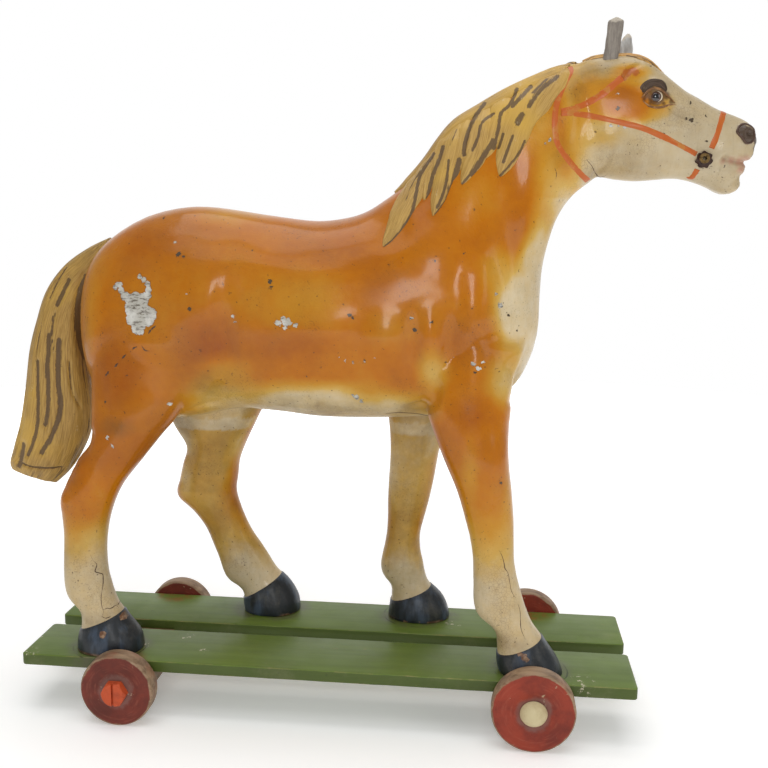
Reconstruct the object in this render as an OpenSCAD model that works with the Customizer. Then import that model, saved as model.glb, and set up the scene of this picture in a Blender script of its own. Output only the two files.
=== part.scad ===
// Pull-along toy horse: a hollow moulded body in two halves with wooden leg cores,
// standing on two planks held by cross battens, running on four wooden wheels.
// Frame: +X forward, +Z up, Z = 0 on the floor, horse's right side at -Y. Millimetres.

/* [Horse] */
// Width of the body at the barrel
barrel_w = 118; // [100:1:134]
// Thickness of the moulded shell
wall = 5; // [3.5:0.5:7]
// How far the mane stands proud of the neck
mane_rise = 2.6; // [1.5:0.1:4]
// Width of the whole head at the cheeks
head_w = 50; // [42:1:58]
// Distance of each hoof from the middle plane
stance = 44; // [38:1:50]
// Depth of the tail's combed grooves, as a share of its width
comb = 0.06; // [0:0.01:0.12]

/* [Head fittings] */
// Diameter of each glass eye
eye_d = 12; // [9:0.5:14]
// Width of each ear
ear_w = 12; // [9:0.5:15]
// Height of each ear above its peg
ear_h = 33; // [26:1:40]
// Thickness of each ear
ear_t = 5; // [3:0.5:7]
// Diameter of the lobed bit rosette
rosette_d = 13; // [10:0.5:16]
// Number of lobes round the rosette
rosette_lobes = 7; // [5:1:9]
// Bore of the eyelet for a rein or pull cord
eyelet_bore = 3; // [2:0.2:4]

/* [Platform] */
// Length of each plank
plank_l = 459; // [420:1:500]
// Width of each plank
plank_w = 57; // [48:1:60]
// Thickness of each plank
plank_t = 7.5; // [6:0.5:10]
// Gap between the planks
plank_gap = 17; // [12:1:26]
// Height of the planks' top above the floor
deck_z = 45; // [42:1:50]
// Position of the planks' rear end
plank_x = -248; // [-256:1:-240]
// Length of each cross batten along X
batten_l = 30; // [24:1:36]
// Height of each cross batten
batten_h = 23; // [20:1:25]

/* [Running gear] */
// Diameter of the front wheels
front_d = 60; // [56:1:64]
// Diameter of the rear wheels
rear_d = 55; // [50:1:60]
// Thickness of each wheel
wheel_t = 14; // [11:1:16]
// Position of the front axle
front_x = 137; // [130:1:144]
// Position of the rear axle
rear_x = -168; // [-176:1:-162]
// Diameter of the axle shanks
shank_d = 10; // [8:1:12]
// Running clearance between shank and wheel, on radius
run = 0.08; // [0.02:0.01:0.1]
// Hexagon head size across flats
hex_af = 17; // [15:1:19]
// Hexagon head thickness
hex_t = 6.5; // [5:0.5:8]
// Diameter of the domed axle cap
cap_d = 19.4; // [15:0.5:21]

/* [Build] */
// Which node to build
// Facets round a body section
seg = 28; // [20:4:48]

/* [Hidden] */
half = barrel_w/2;
plank_y = plank_gap/2 + plank_w/2;
deck_y = plank_gap/2 + plank_w;
plank_z = deck_z - plank_t;
wheel_y = deck_y + 2.5;
wheel_out = wheel_y + wheel_t;
front_r = front_d/2;
rear_r = rear_d/2;
batten_y = deck_y;
washer_d = 22;
washer_t = 1.5;
recess_d = 18.4;
cap_washer_d = 17;
recess_t = 2;
head_y = wheel_out + 0.4;
eye_at = [208, 19.5, 457];
ear_right_at = [178, -11, 477];
ear_left_at = [188, 11, 475];
bit_at = [243, 19, 416];
corner = 3;
bolt_bite = 34;
screw_d = 4;
screw_l = 32;
foot_screw = [[127, -stance], [-188, -stance], [-80, stance + 2], [46, stance + 4]];

// Section rows: upper or front edge x, z, lower or rear edge x, z, half width, centre y.
torso = [
    [-207, 318, -206, 280, 0.30, 0], [-201, 341, -204, 254, 0.62, 0],
    [-186, 358, -194, 234, 0.86, 0], [-158, 374, -166, 221, 0.97, 0],
    [-124, 381, -130, 220, 1.00, 0], [-90, 378, -92, 228, 0.98, 0],
    [-60, 374, -58, 227, 0.98, 0], [-30, 371, -28, 224, 1.00, 0],
    [-6, 374, 8, 224, 1.00, 0], [8, 379, 46, 226, 0.98, 0],
    [19, 386, 82, 231, 0.95, 0], [30, 394, 114, 247, 0.90, 0],
    [40, 404, 128, 268, 0.82, 0], [50, 416, 134.5, 292, 0.74, 0],
    [59, 429, 135, 316, 0.66, 0], [70, 442, 136, 338, 0.59, 0],
    [86, 452, 140, 358, 0.53, 0], [105, 463, 146, 376, 0.49, 0],
    [127, 473, 156, 391, 0.45, 0], [152, 483, 170, 402, 0.42, 0]];

head = [
    [150, 480, 166, 406, 0.86, 0], [166, 486, 180, 403, 0.96, 0],
    [184, 488, 198, 401, 1.00, 0], [202, 485, 213, 402, 0.98, 0],
    [218, 473, 226, 403, 0.86, 0], [234, 461, 238, 401, 0.74, 0],
    [250, 452, 249, 397, 0.68, 0], [264, 447, 258, 393, 0.66, 0],
    [276, 441, 265, 396, 0.58, 0], [282, 430, 272, 406, 0.34, 0]];

fore_right = [
    [158.5, 45, 113, 45, 20, -1], [154.8, 54, 111.3, 51, 19.5, -1],
    [150.3, 61, 111, 56, 18, -1], [146, 67, 110.8, 61, 16.5, -1],
    [142.8, 72, 110.3, 66, 15.5, -1], [139, 77, 110, 71.5, 14.8, -1],
    [135.8, 81.5, 108, 76, 14.5, -1], [132.8, 88, 102, 82, 14.8, -1],
    [130.3, 94.5, 96, 87, 15.3, -1], [127.5, 103, 92.6, 96, 15, -1],
    [124.3, 114, 92.1, 110, 14.3, -1], [121.5, 127, 91.5, 125, 14, -1],
    [120.8, 138, 90.5, 138, 14, -1], [120, 158, 85.5, 157, 16, -0.98],
    [118, 180, 78.5, 180, 18, -0.96], [115, 205, 67.5, 205, 20, -0.93],
    [115, 230, 57.5, 230, 22, -0.86], [118, 255, 50, 252, 23, -0.77],
    [124, 285, 48, 280, 20, -0.68]];

hind_right = [
    [-160.8, 45, -210, 45, 20, -1], [-162.5, 56, -209.5, 53, 19.5, -1],
    [-167, 63, -208.5, 58, 17.5, -1], [-171.5, 69, -207.5, 62, 15.5, -1],
    [-175, 75, -207, 69, 14.5, -1], [-178.5, 79, -208, 75, 14.3, -1],
    [-181, 85, -212.5, 80.5, 15, -1], [-183, 91, -217, 86, 15.5, -1],
    [-185, 99, -219.2, 95, 15.5, -1], [-186.3, 106, -219.5, 104, 15, -1],
    [-187, 121, -219, 119, 14.5, -1], [-185, 140, -218, 137, 15, -1],
    [-180, 158, -219, 155, 16.5, -1], [-172, 175, -217, 169, 17.5, -0.98],
    [-158, 193, -211, 183, 19, -0.93], [-143, 212, -199, 201, 22, -0.88],
    [-130, 228, -192, 221, 25, -0.82], [-118, 250, -193, 245, 27, -0.75],
    [-108, 280, -199, 275, 27, -0.7], [-112, 315, -200, 305, 25, -0.65],
    [-126, 345, -190, 335, 18, -0.6]];

hind_left = [
    [-55.5, 45, -101, 45, 20, 1.05], [-56.5, 55, -102, 50, 19.5, 1.05],
    [-60.5, 64, -102.3, 54, 17.8, 1.05], [-65.5, 71, -102.6, 57, 16.5, 1.05],
    [-70, 75.5, -103.8, 61, 15.5, 1.05], [-74.5, 80, -108.5, 65.5, 15, 1.05],
    [-78.5, 86, -113.5, 68.2, 15.3, 1.05], [-83, 93.5, -118, 73, 15.8, 1.05],
    [-86, 98, -121, 80, 15.8, 1.05], [-89, 102.5, -124, 90, 15.5, 1.05],
    [-93, 108, -128, 100, 15, 1.05], [-98, 117, -134.5, 116, 14.5, 1.04],
    [-104, 132, -144.5, 130, 15, 1.02], [-108, 148, -157.5, 143, 17, 1],
    [-106, 162, -155.5, 156, 18, 0.98], [-104, 176, -151.5, 172, 19, 0.95],
    [-97, 193, -147.5, 187, 21, 0.92], [-87, 213, -157.5, 206, 24, 0.86],
    [-76, 238, -165, 232, 26, 0.78], [-80, 270, -178, 262, 27, 0.71],
    [-90, 305, -184, 296, 25, 0.65], [-110, 338, -182, 328, 18, 0.6]];

fore_left = [
    [71.3, 45, 21.5, 45, 20, 1.09], [69.3, 54, 22, 51, 19.5, 1.09],
    [65.5, 62, 22.6, 55.5, 18, 1.09], [60.5, 67.5, 23, 59, 16.5, 1.09],
    [56.5, 71, 23.3, 63, 15.5, 1.09], [53.3, 75.5, 23.2, 68.5, 14.8, 1.09],
    [51.6, 80, 21.5, 73.3, 14.6, 1.09], [50.2, 86, 17, 78.5, 15.2, 1.09],
    [49.2, 91.5, 14.2, 85, 15.8, 1.09], [47.6, 98, 14.2, 92, 16, 1.09],
    [46.5, 105, 16, 101, 15, 1.09], [46.3, 116, 18.5, 115, 14, 1.08],
    [49.5, 130, 19.5, 130, 14.5, 1.06], [53.5, 146, 19.5, 146, 16, 1.04],
    [57.5, 166, 20.5, 166, 17, 1.02], [61.5, 190, 21.5, 190, 19, 0.98],
    [68, 215, 20, 215, 21, 0.92], [76, 240, 16, 238, 22, 0.84], [84, 270, 16, 265, 21, 0.75]];

tail_rows = [
    [-192, 357, -192, 340, 9, 0], [-209, 349, -200, 326, 13, 0], [-228, 336, -206, 310, 15, 0],
    [-243, 317, -211, 294, 17, 0], [-252, 294, -213, 276, 18, 0], [-259, 270, -213, 254, 19, 0],
    [-264, 241, -211, 230, 19, 0], [-270, 212, -213, 208, 19, 0], [-276, 194, -220, 191, 17, 0],
    [-281, 179, -231, 174, 13.5, 0], [-281, 173, -243, 162, 8, 0]];

// Leg cores: x, z, radius down the middle of each leg; they follow the leg's own centre y.
core_fore_right = [[126, deck_z, 6.5], [126, 74, 6.5], [117, 90, 6.5], [107, 112, 6.5],
    [105, 140, 6.5], [97, 185, 7], [88, 232, 7]];
core_hind_right = [[-188, deck_z, 6.5], [-189, 74, 6.5], [-200, 92, 6.5], [-204, 120, 6.5],
    [-202, 150, 6.5], [-186, 186, 7], [-158, 225, 7]];
core_hind_left = [[-80, deck_z, 6.5], [-82, 72, 6.5], [-98, 92, 6.5], [-114, 118, 6.5],
    [-130, 148, 6.5], [-127, 185, 7], [-122, 225, 7]];
core_fore_left = [[46, deck_z, 6.5], [43, 72, 6.5], [34, 92, 6.5], [34, 118, 6.5],
    [37, 145, 6.5], [42, 190, 7], [46, 232, 7]];

// Mane outline in side view: the scalloped ends of the locks, then back over the crest.
mane_edge = [[10, 378], [22, 368], [25, 353], [38, 366], [48, 386], [54, 376], [66, 396], [72, 410],
    [79, 398], [90, 416], [96, 420], [102, 402], [110, 424], [113, 436], [117, 427], [123, 444],
    [129, 443], [134, 456], [139, 458], [150, 474], [156, 492], [120, 490], [60, 460], [10, 400]];

function sgn_pow(v, p) = sign(v)*pow(abs(v), p);

function bend(a, b, c, d, t) = 0.5*((2*b) + (c - a)*t + (2*a - 5*b + 4*c - d)*t*t
    + (3*b - a - 3*c + d)*t*t*t);

function smooth(r, k) = [for (i = [0:len(r) - 2]) for (j = [0:k - 1])
    bend(r[max(i - 1, 0)], r[i], r[i + 1], r[min(i + 2, len(r) - 1)], j/k), r[len(r) - 1]];

// One section ring: squareness n, ripple share rip with its count of ribs.
function ring(r, n, rip, ribs, m) =
    let (cx = (r[0] + r[2])/2, cz = (r[1] + r[3])/2, ux = (r[0] - r[2])/2, uz = (r[1] - r[3])/2)
    [for (i = [0:m - 1]) let (a = 360*i/m, k = 1 - rip*(1 - cos(ribs*a))/2,
        c = sgn_pow(cos(a), 2/n)*k, s = sgn_pow(sin(a), 2/n)*k)
        [cx + ux*c, r[5] + r[4]*s, cz + uz*c]];

// A closed solid through the rows' rings; either winding of the rows gives outward faces.
module loft(rows, n = 2.2, rip = 0, ribs = 8, m = seg) {
    pts = [for (r = rows) each ring(r, n, rip, ribs, m)];
    last = (len(rows) - 1)*m;
    r0 = rows[0];
    r1 = rows[1];
    d = [(r1[0] + r1[2] - r0[0] - r0[2])/2, (r1[1] + r1[3] - r0[1] - r0[3])/2];
    u = [r0[0] - r0[2], r0[1] - r0[3]];
    flip = d[0]*u[1] - d[1]*u[0] < 0;
    quads = [for (i = [0:len(rows) - 2]) for (j = [0:m - 1]) let (a = i*m + j, b = i*m + (j + 1)%m)
        each [[a, b, b + m], [a, b + m, a + m]]];
    caps = [[for (j = [m - 1:-1:0]) j], [for (j = [0:m - 1]) last + j]];
    faces = concat(quads, caps);
    polyhedron(pts, flip ? [for (f = faces) [for (k = [len(f) - 1:-1:0]) f[k]]] : faces,
        convexity = 8);
}

// Moves both edges and the sides of each row inwards by t.
function shrink(rows, t) = [for (r = rows) let (d = [r[0] - r[2], r[1] - r[3]], e = d/norm(d)*t)
    [r[0] - e[0], r[1] - e[1], r[2] + e[0], r[3] + e[1], max(r[4] - t, 1), r[5]]];

function widen(rows, k) = [for (r = rows) [r[0], r[1], r[2], r[3], r[4]*k, r[5]]];

function splay(rows) = [for (r = rows) [r[0], r[1], r[2], r[3], r[4], r[5]*stance]];

function inner(rows, a, b) = [for (i = [a:len(rows) - 1 - b]) rows[i]];

torso_rows = widen(torso, half);
head_rows = widen(head, head_w/2);

module egg(at, r) {
    translate(at) scale(r) sphere(1, $fn = 14);
}

// A muscle: the hull of two ellipsoids.
module swell(a, ra, b, rb) {
    hull() {
        egg(a, ra);
        egg(b, rb);
    }
}

module limb(rows) {
    loft(smooth(splay(rows), 2), n = 2.15, m = 20);
}

module torso_solid(grow = 0) {
    loft(smooth(shrink(torso_rows, -grow), 2), n = 2.2);
}

module head_solid() {
    loft(smooth(head_rows, 2), n = 2.3);
}

module cavity() {
    loft(smooth(shrink(inner(torso_rows, 1, 0), wall), 1), n = 2.2, m = 24);
    loft(smooth(shrink(inner(head_rows, 0, 3), wall), 1), n = 2.3, m = 24);
}

// Muscles on one side; s is -1 on the right and 1 on the left.
module muscles(s) {
    w = half;
    swell([96, s*w*0.60, 300], [26, 18, 34], [66, s*w*0.66, 340], [20, 16, 34]);
    swell([100, s*w*0.58, 272], [26, 21, 26], [80, s*w*0.66, 252], [22, 18, 20]);
    swell([118, s*15, 292], [15, 15, 24], [110, s*19, 270], [16, 16, 20]);
    swell([-150, s*w*0.52, 330], [44, 26, 34], [-136, s*w*0.56, 290], [44, 28, 34]);
    swell([-40, s*w*0.50, 290], [46, 28, 50], [10, s*w*0.52, 286], [44, 27, 46]);
    swell([194, s*11.5, 424], [14, 12.5, 20], [212, s*10, 440], [15, 13, 17]);
    swell([200, s*16, 466], [11, 7, 5], [212, s*15, 464], [10, 7, 5]);
    swell([270, s*7, 433], [8, 7, 8], [262, s*7, 424], [9, 8, 10]);
    swell([262, s*4, 398], [8, 6, 6], [254, s*4, 400], [10, 7, 6]);
}

module face_cuts(s) {
    translate([eye_at[0], s*eye_at[1], eye_at[2]]) sphere(d = eye_d + 0.5, $fn = 24);
    egg([277, s*11.5, 433], [3.4, 4.2, 2.4]);
    translate([283, s*10, 412]) rotate([0, 26, 0]) cube([32, 26, 1.6], center = true);
}

module socket_cuts(s) {
    ear(s, 0.15);
    translate([bit_at[0], 0, bit_at[2]]) rotate([s*-90, 0, 0])
        cylinder(d = eyelet_bore + 2.3, h = bit_at[1] + 8, $fn = 24);
    translate([bit_at[0], s*(bit_at[1] - 0.6), bit_at[2]]) rotate([-s*90, 0, 0])
        cylinder(d = rosette_d + 3.2, h = 12, $fn = 24);
}

module half_space(s) {
    translate([-400, s < 0 ? -200 : 0, 0]) cube([800, 200, 600]);
}

module mane_right() {
    intersection() {
        torso_solid(grow = mane_rise);
        translate([0, 1, 0]) rotate([90, 0, 0]) linear_extrude(80) polygon(mane_edge);
    }
}

module crest_left() {
    intersection() {
        torso_solid(grow = mane_rise*0.7);
        translate([0, 40, 0]) rotate([90, 0, 0]) linear_extrude(41)
            polygon([[10, 378], [34, 392], [66, 424], [100, 450], [150, 474], [156, 492],
                [120, 490], [60, 460], [10, 400]]);
    }
}

module body_half(s, fore, hind, core_f, core_h) {
    difference() {
        intersection() {
            union() {
                torso_solid();
                head_solid();
                limb(fore);
                limb(hind);
                muscles(s);
                if (s < 0) mane_right();
                else crest_left();
            }
            half_space(s);
        }
        cavity();
        tail_solid();
        core(core_f, fore);
        core(core_h, hind);
        face_cuts(s);
        socket_cuts(s);
    }
}

// A core's y follows the leg: full stance low down, drawn in above the knee.
module core(path, rows) {
    y0 = rows[0][5]*stance;
    loft([for (p = path) [p[0] + p[2], p[1], p[0] - p[2], p[1], p[2],
        y0*(1 - max(0, p[1] - 150)/520)]], n = 2, m = 16);
}

module leg_core(path, rows, at) {
    color("burlywood") difference() {
        core(path, rows);
        translate([at[0], at[1], 40]) cylinder(d = screw_d, h = screw_l - 3, $fn = 24);
    }
}

module tail_solid() {
    loft(smooth(tail_rows, 2), n = 2.1, rip = comb*2, ribs = 9, m = 36);
}

module ear_peg(gap = 0) {
    cylinder(d = 7 + gap*2, h = 10 + gap*2, center = true, $fn = 24);
}

// A leaf-shaped ear on a round peg, leaning outwards; gap is the room left when it cuts its socket.
module ear(s, gap = 0) {
    translate(s < 0 ? ear_right_at : ear_left_at) rotate([-s*8, 0, 0]) {
        ear_peg(gap);
        translate([0, ear_t/2 + gap, 4.6]) rotate([90, 0, 0]) linear_extrude(ear_t + gap*2)
            offset(delta = gap) polygon([for (i = [0:12]) let (t = i/12, w = ear_w/2*pow(sin(180*(0.24 + 0.72*t)), 0.7))
                [w + t*2, t*ear_h*0.92], for (i = [12:-1:0]) let (t = i/12,
                w = ear_w/2*pow(sin(180*(0.24 + 0.72*t)), 0.7)) [-w + t*2, t*ear_h*0.92]]);
    }
}

module eye(s) {
    translate([eye_at[0], s*eye_at[1], eye_at[2]]) sphere(d = eye_d, $fn = 24);
}

module rosette(s) {
    translate([bit_at[0], s*(bit_at[1] - 0.6), bit_at[2]]) rotate([-s*90, 0, 0]) difference() {
        union() {
            cylinder(d = rosette_d - 4, h = 2.6, $fn = 28);
            for (i = [0:rosette_lobes - 1]) rotate(i*360/rosette_lobes)
                translate([rosette_d/2 - 2.6, 0, 0]) cylinder(r = 2.6, h = 2.2, $fn = 16);
        }
        translate([0, 0, -1]) cylinder(d = eyelet_bore + 2, h = 6, $fn = 24);
    }
}

module eyelet(s) {
    translate([bit_at[0], 0, bit_at[2]]) rotate([-s*90, 0, 0]) translate([0, 0, bit_at[1] - 8])
        difference() {
            union() {
                cylinder(d = eyelet_bore + 2, h = 10.4, $fn = 24);
                translate([0, 0, 10]) cylinder(d = eyelet_bore + 4, h = 0.9, $fn = 24);
            }
            translate([0, 0, -1]) cylinder(d = eyelet_bore, h = 14, $fn = 24);
        }
}

// A plank with eased ends, drilled for its leg screws and countersunk below.
module plank(s) {
    spots = [for (p = foot_screw) if (sign(p[1]) == s) p];
    color("olivedrab") difference() {
        translate([plank_x, s*plank_y - plank_w/2, plank_z]) linear_extrude(plank_t)
            offset(corner, $fn = 24) offset(-corner) square([plank_l, plank_w]);
        for (p = spots) translate([p[0], p[1], plank_z - 1]) {
            cylinder(d = screw_d, h = plank_t + 2, $fn = 24);
            cylinder(d1 = screw_d + 8, d2 = screw_d, h = 4, $fn = 24);
        }
        for (x = [front_x, rear_x], p = batten_spots(x, s)) translate([p[0], p[1], plank_z - 1])
            cylinder(d = screw_d, h = 6, $fn = 24);
    }
}

// Two screws a side through each batten, the outer one set clear of the axle shank.
function batten_spots(x, s) = [[x, s*(plank_gap/2 + 9)], [x + 10, s*(deck_y - 13)]];

module batten(x, z) {
    color("tan") difference() {
        translate([x - batten_l/2, -batten_y, plank_z - batten_h])
            cube([batten_l, 2*batten_y, batten_h]);
        for (s = [-1, 1]) {
            translate([x, s*(batten_y + 1), z]) rotate([s*90, 0, 0])
                cylinder(d = shank_d, h = bolt_bite + 1, $fn = 32);
            for (p = batten_spots(x, s)) batten_screw_cut(p[0], p[1]);
        }
    }
}

module batten_screw_cut(x, y) {
    translate([x, y, plank_z - batten_h - 1]) cylinder(d = screw_d, h = batten_h + 2, $fn = 24);
    translate([x, y, plank_z - batten_h - 0.01]) cylinder(d = screw_d + 4, h = 3, $fn = 24);
}

module batten_screws() {
    color("dimgray") for (x = [front_x, rear_x], s = [-1, 1], p = batten_spots(x, s))
        translate([p[0], p[1], plank_z - batten_h]) {
            cylinder(d = screw_d, h = batten_h + 4, $fn = 24);
            translate([0, 0, 0.2]) cylinder(d = screw_d + 4, h = 2.7, $fn = 24);
        }
}

module leg_screws() {
    color("dimgray") for (p = foot_screw) translate([p[0], p[1], plank_z + 0.2]) {
        cylinder(d = screw_d, h = screw_l - 5, $fn = 24);
        cylinder(d1 = screw_d + 5, d2 = screw_d, h = 2.6, $fn = 24);
    }
}

// A turned disc with rounded rims; a recess at the hub where dish is set.
module wheel(x, r, s, dish) {
    e = 2.2;
    color("sienna") translate([x, s*wheel_y, r]) rotate([-s*90, 0, 0]) rotate_extrude($fn = 96)
        difference() {
            translate([shank_d/2 + run, 0]) offset(e, $fn = 20) offset(-e)
                square([r - shank_d/2 - run, wheel_t]);
            translate([0, -1]) square([shank_d/2 + run, wheel_t + 2]);
            if (dish) translate([0, wheel_t - recess_t]) square([recess_d/2, recess_t + 1]);
        }
}

module washer(x, z, s, y, d = washer_d) {
    translate([x, s*y, z]) rotate([-s*90, 0, 0]) difference() {
        cylinder(d = d, h = washer_t, $fn = 32);
        translate([0, 0, -1]) cylinder(d = shank_d, h = washer_t + 2, $fn = 32);
    }
}

module axle_screw(s) {
    color("gray") translate([front_x, s*(batten_y - bolt_bite), front_r]) rotate([-s*90, 0, 0]) {
        cylinder(d = shank_d, h = head_y - batten_y + bolt_bite + 0.1, $fn = 32);
        translate([0, 0, head_y - batten_y + bolt_bite]) cylinder(d = 14, h = 3.5, $fn = 28);
    }
}

module axle_cap(s) {
    dome = cap_d/2;
    color("ivory") translate([front_x, s*head_y, front_r]) rotate([-s*90, 0, 0]) difference() {
        rotate_extrude($fn = 48) intersection() {
            translate([0, -dome*0.35]) circle(dome*1.06, $fn = 64);
            square([dome, dome]);
        }
        translate([0, 0, -1]) cylinder(d = 14, h = 4.5, $fn = 28);
    }
}

module axle_bolt(s) {
    long = head_y - batten_y + bolt_bite;
    color("orangered") translate([rear_x, s*(batten_y - bolt_bite), rear_r]) rotate([-s*90, 0, 0]) {
        cylinder(d = shank_d, h = long + 0.1, $fn = 32);
        translate([0, 0, long]) difference() {
            intersection() {
                cylinder(d = hex_af/cos(30), h = hex_t, $fn = 6);
                translate([0, 0, -12]) cylinder(r1 = 22, r2 = 7.6, h = 12 + hex_t + 0.8, $fn = 48);
            }
            translate([-0.9, -15, hex_t - 2]) cube([1.8, 30, 3]);
        }
    }
}

module body_shell_right() {
    color("darkorange") body_half(-1, fore_right, hind_right, core_fore_right, core_hind_right);
}
module body_shell_left() {
    color("orange") body_half(1, fore_left, hind_left, core_fore_left, core_hind_left);
}
module tail() { color("goldenrod") tail_solid(); }
module ear_right() { color("gray") ear(-1); }
module ear_left() { color("silver") ear(1); }
module eye_right() { color("black") eye(-1); }
module eye_left() { color("black") eye(1); }
module bit_rosette_right() { color("saddlebrown") rosette(-1); }
module bit_rosette_left() { color("saddlebrown") rosette(1); }
module eyelet_right() { color("gold") eyelet(-1); }
module eyelet_left() { color("gold") eyelet(1); }
module leg_core_fore_right() { leg_core(core_fore_right, fore_right, foot_screw[0]); }
module leg_core_hind_right() { leg_core(core_hind_right, hind_right, foot_screw[1]); }
module leg_core_hind_left() { leg_core(core_hind_left, hind_left, foot_screw[2]); }
module leg_core_fore_left() { leg_core(core_fore_left, fore_left, foot_screw[3]); }
module plank_right() { plank(-1); }
module plank_left() { plank(1); }
module batten_front() { batten(front_x, front_r); }
module batten_rear() { batten(rear_x, rear_r); }
module wheel_front_right() { wheel(front_x, front_r, -1, true); }
module wheel_front_left() { wheel(front_x, front_r, 1, true); }
module wheel_rear_right() { wheel(rear_x, rear_r, -1, false); }
module wheel_rear_left() { wheel(rear_x, rear_r, 1, false); }
module axle_screw_front_right() { axle_screw(-1); }
module axle_screw_front_left() { axle_screw(1); }
module axle_bolt_rear_right() { axle_bolt(-1); }
module axle_bolt_rear_left() { axle_bolt(1); }
module axle_cap_right() { axle_cap(-1); }
module axle_cap_left() { axle_cap(1); }
module inner_washers() {
    color("silver") for (s = [-1, 1]) {
        washer(front_x, front_r, s, batten_y + 0.3);
        washer(rear_x, rear_r, s, batten_y + 0.3);
    }
}
module outer_washers() {
    color("silver") for (s = [-1, 1]) 
        washer(front_x, front_r, s, wheel_out - recess_t + 0.4, cap_washer_d);
}

body_shell_right();
body_shell_left();
tail();
ear_right();
ear_left();
eye_right();
eye_left();
bit_rosette_right();
bit_rosette_left();
eyelet_right();
eyelet_left();
leg_core_fore_right();
leg_core_hind_right();
leg_core_hind_left();
leg_core_fore_left();
plank_right();
plank_left();
batten_front();
batten_rear();
batten_screws();
leg_screws();
wheel_front_right();
wheel_front_left();
wheel_rear_right();
wheel_rear_left();
axle_screw_front_right();
axle_screw_front_left();
axle_bolt_rear_right();
axle_bolt_rear_left();
axle_cap_right();
axle_cap_left();
inner_washers();
outer_washers();
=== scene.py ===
"""Looks for the pull-along toy horse: a moulded, varnished body on planks and turned wheels."""

import logging
import math
from dataclasses import dataclass
from enum import Enum

import bmesh
import bpy
import numpy as np
from mathutils import Matrix, Vector
from mathutils.bvhtree import BVHTree


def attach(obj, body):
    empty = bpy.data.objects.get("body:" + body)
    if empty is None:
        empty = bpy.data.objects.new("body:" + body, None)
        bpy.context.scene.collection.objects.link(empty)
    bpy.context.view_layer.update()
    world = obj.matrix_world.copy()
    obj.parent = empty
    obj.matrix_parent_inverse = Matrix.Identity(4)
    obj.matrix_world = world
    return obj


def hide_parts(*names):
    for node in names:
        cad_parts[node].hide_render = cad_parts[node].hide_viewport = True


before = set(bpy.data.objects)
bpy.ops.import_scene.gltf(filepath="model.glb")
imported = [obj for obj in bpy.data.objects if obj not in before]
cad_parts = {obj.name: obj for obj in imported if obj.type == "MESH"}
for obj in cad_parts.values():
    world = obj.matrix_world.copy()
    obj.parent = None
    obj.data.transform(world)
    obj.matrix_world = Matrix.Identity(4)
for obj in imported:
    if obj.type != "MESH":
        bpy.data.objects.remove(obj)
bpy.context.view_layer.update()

LOG = logging.getLogger("toy_horse")
MM = 0.001
HORSE = "horse"
Row = tuple[float, float, float, float, float, float]
Point = tuple[float, float, float]
Color = tuple[float, float, float, float]
Socket = bpy.types.NodeSocket
Mesh = bpy.types.Mesh
Piece = bpy.types.Object
Finish = bpy.types.Material
Net = bmesh.types.BMesh
Line = tuple[tuple[float, float], ...]

STANCE = 44.0
HALF_BODY = 59.0
HALF_HEAD = 25.0
DECK_Z = 45.0
PLANK = (459.0, 57.0, 8.9)
PLANK_X = -248.0
PLANK_Y = 37.0
WHEEL_IN = 68.0
WHEEL_T = 14.0
BORE_R = 5.08
FRONT_AXLE = 137.0
REAR_AXLE = -168.0
AXLES = (("front", FRONT_AXLE, 30.0), ("rear", REAR_AXLE, 27.5))
SIDES = ((-1, "right"), (1, "left"))

# Each row: upper or front edge x, z, lower or rear edge x, z, half width, middle y.
TORSO: tuple[Row, ...] = (
    (-207, 318, -206, 280, 0.30, 0), (-201, 341, -204, 254, 0.62, 0), (-186, 358, -194, 234, 0.86, 0),
    (-158, 374, -166, 221, 0.97, 0), (-124, 381, -130, 220, 1.00, 0), (-90, 378, -92, 228, 0.98, 0),
    (-60, 374, -58, 227, 0.98, 0), (-30, 371, -28, 224, 1.00, 0), (-6, 374, 8, 224, 1.00, 0),
    (8, 379, 46, 226, 0.98, 0), (19, 386, 82, 231, 0.95, 0), (30, 394, 114, 247, 0.90, 0),
    (40, 404, 128, 268, 0.82, 0), (50, 416, 134.5, 292, 0.74, 0), (59, 429, 135, 316, 0.66, 0),
    (70, 442, 136, 338, 0.59, 0), (86, 452, 140, 358, 0.53, 0), (105, 463, 146, 376, 0.49, 0),
    (127, 473, 156, 391, 0.45, 0), (152, 483, 170, 402, 0.42, 0),
)
HEAD: tuple[Row, ...] = (
    (150, 480, 166, 406, 0.86, 0), (166, 486, 180, 403, 0.96, 0), (184, 488, 198, 401, 1.00, 0),
    (202, 485, 213, 402, 0.98, 0), (218, 473, 226, 403, 0.86, 0), (234, 461, 238, 401, 0.74, 0),
    (250, 452, 249, 397, 0.68, 0), (264, 447, 258, 393, 0.66, 0), (276, 441, 265, 396, 0.58, 0),
    (282, 430, 272, 406, 0.34, 0),
)
FORE_RIGHT: tuple[Row, ...] = (
    (158.5, 45, 113, 45, 20, -1), (154.8, 54, 111.3, 51, 19.5, -1), (150.3, 61, 111, 56, 18, -1),
    (146, 67, 110.8, 61, 16.5, -1), (142.8, 72, 110.3, 66, 15.5, -1), (139, 77, 110, 71.5, 14.8, -1),
    (135.8, 81.5, 108, 76, 14.5, -1), (132.8, 88, 102, 82, 14.8, -1), (130.3, 94.5, 96, 87, 15.3, -1),
    (127.5, 103, 92.6, 96, 15, -1), (124.3, 114, 92.1, 110, 14.3, -1), (121.5, 127, 91.5, 125, 14, -1),
    (120.8, 138, 90.5, 138, 14, -1), (120, 158, 85.5, 157, 16, -0.98), (118, 180, 78.5, 180, 18, -0.96),
    (115, 205, 67.5, 205, 20, -0.93), (115, 230, 57.5, 230, 22, -0.86), (118, 255, 50, 252, 23, -0.77),
    (124, 285, 48, 280, 20, -0.68),
)
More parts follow.
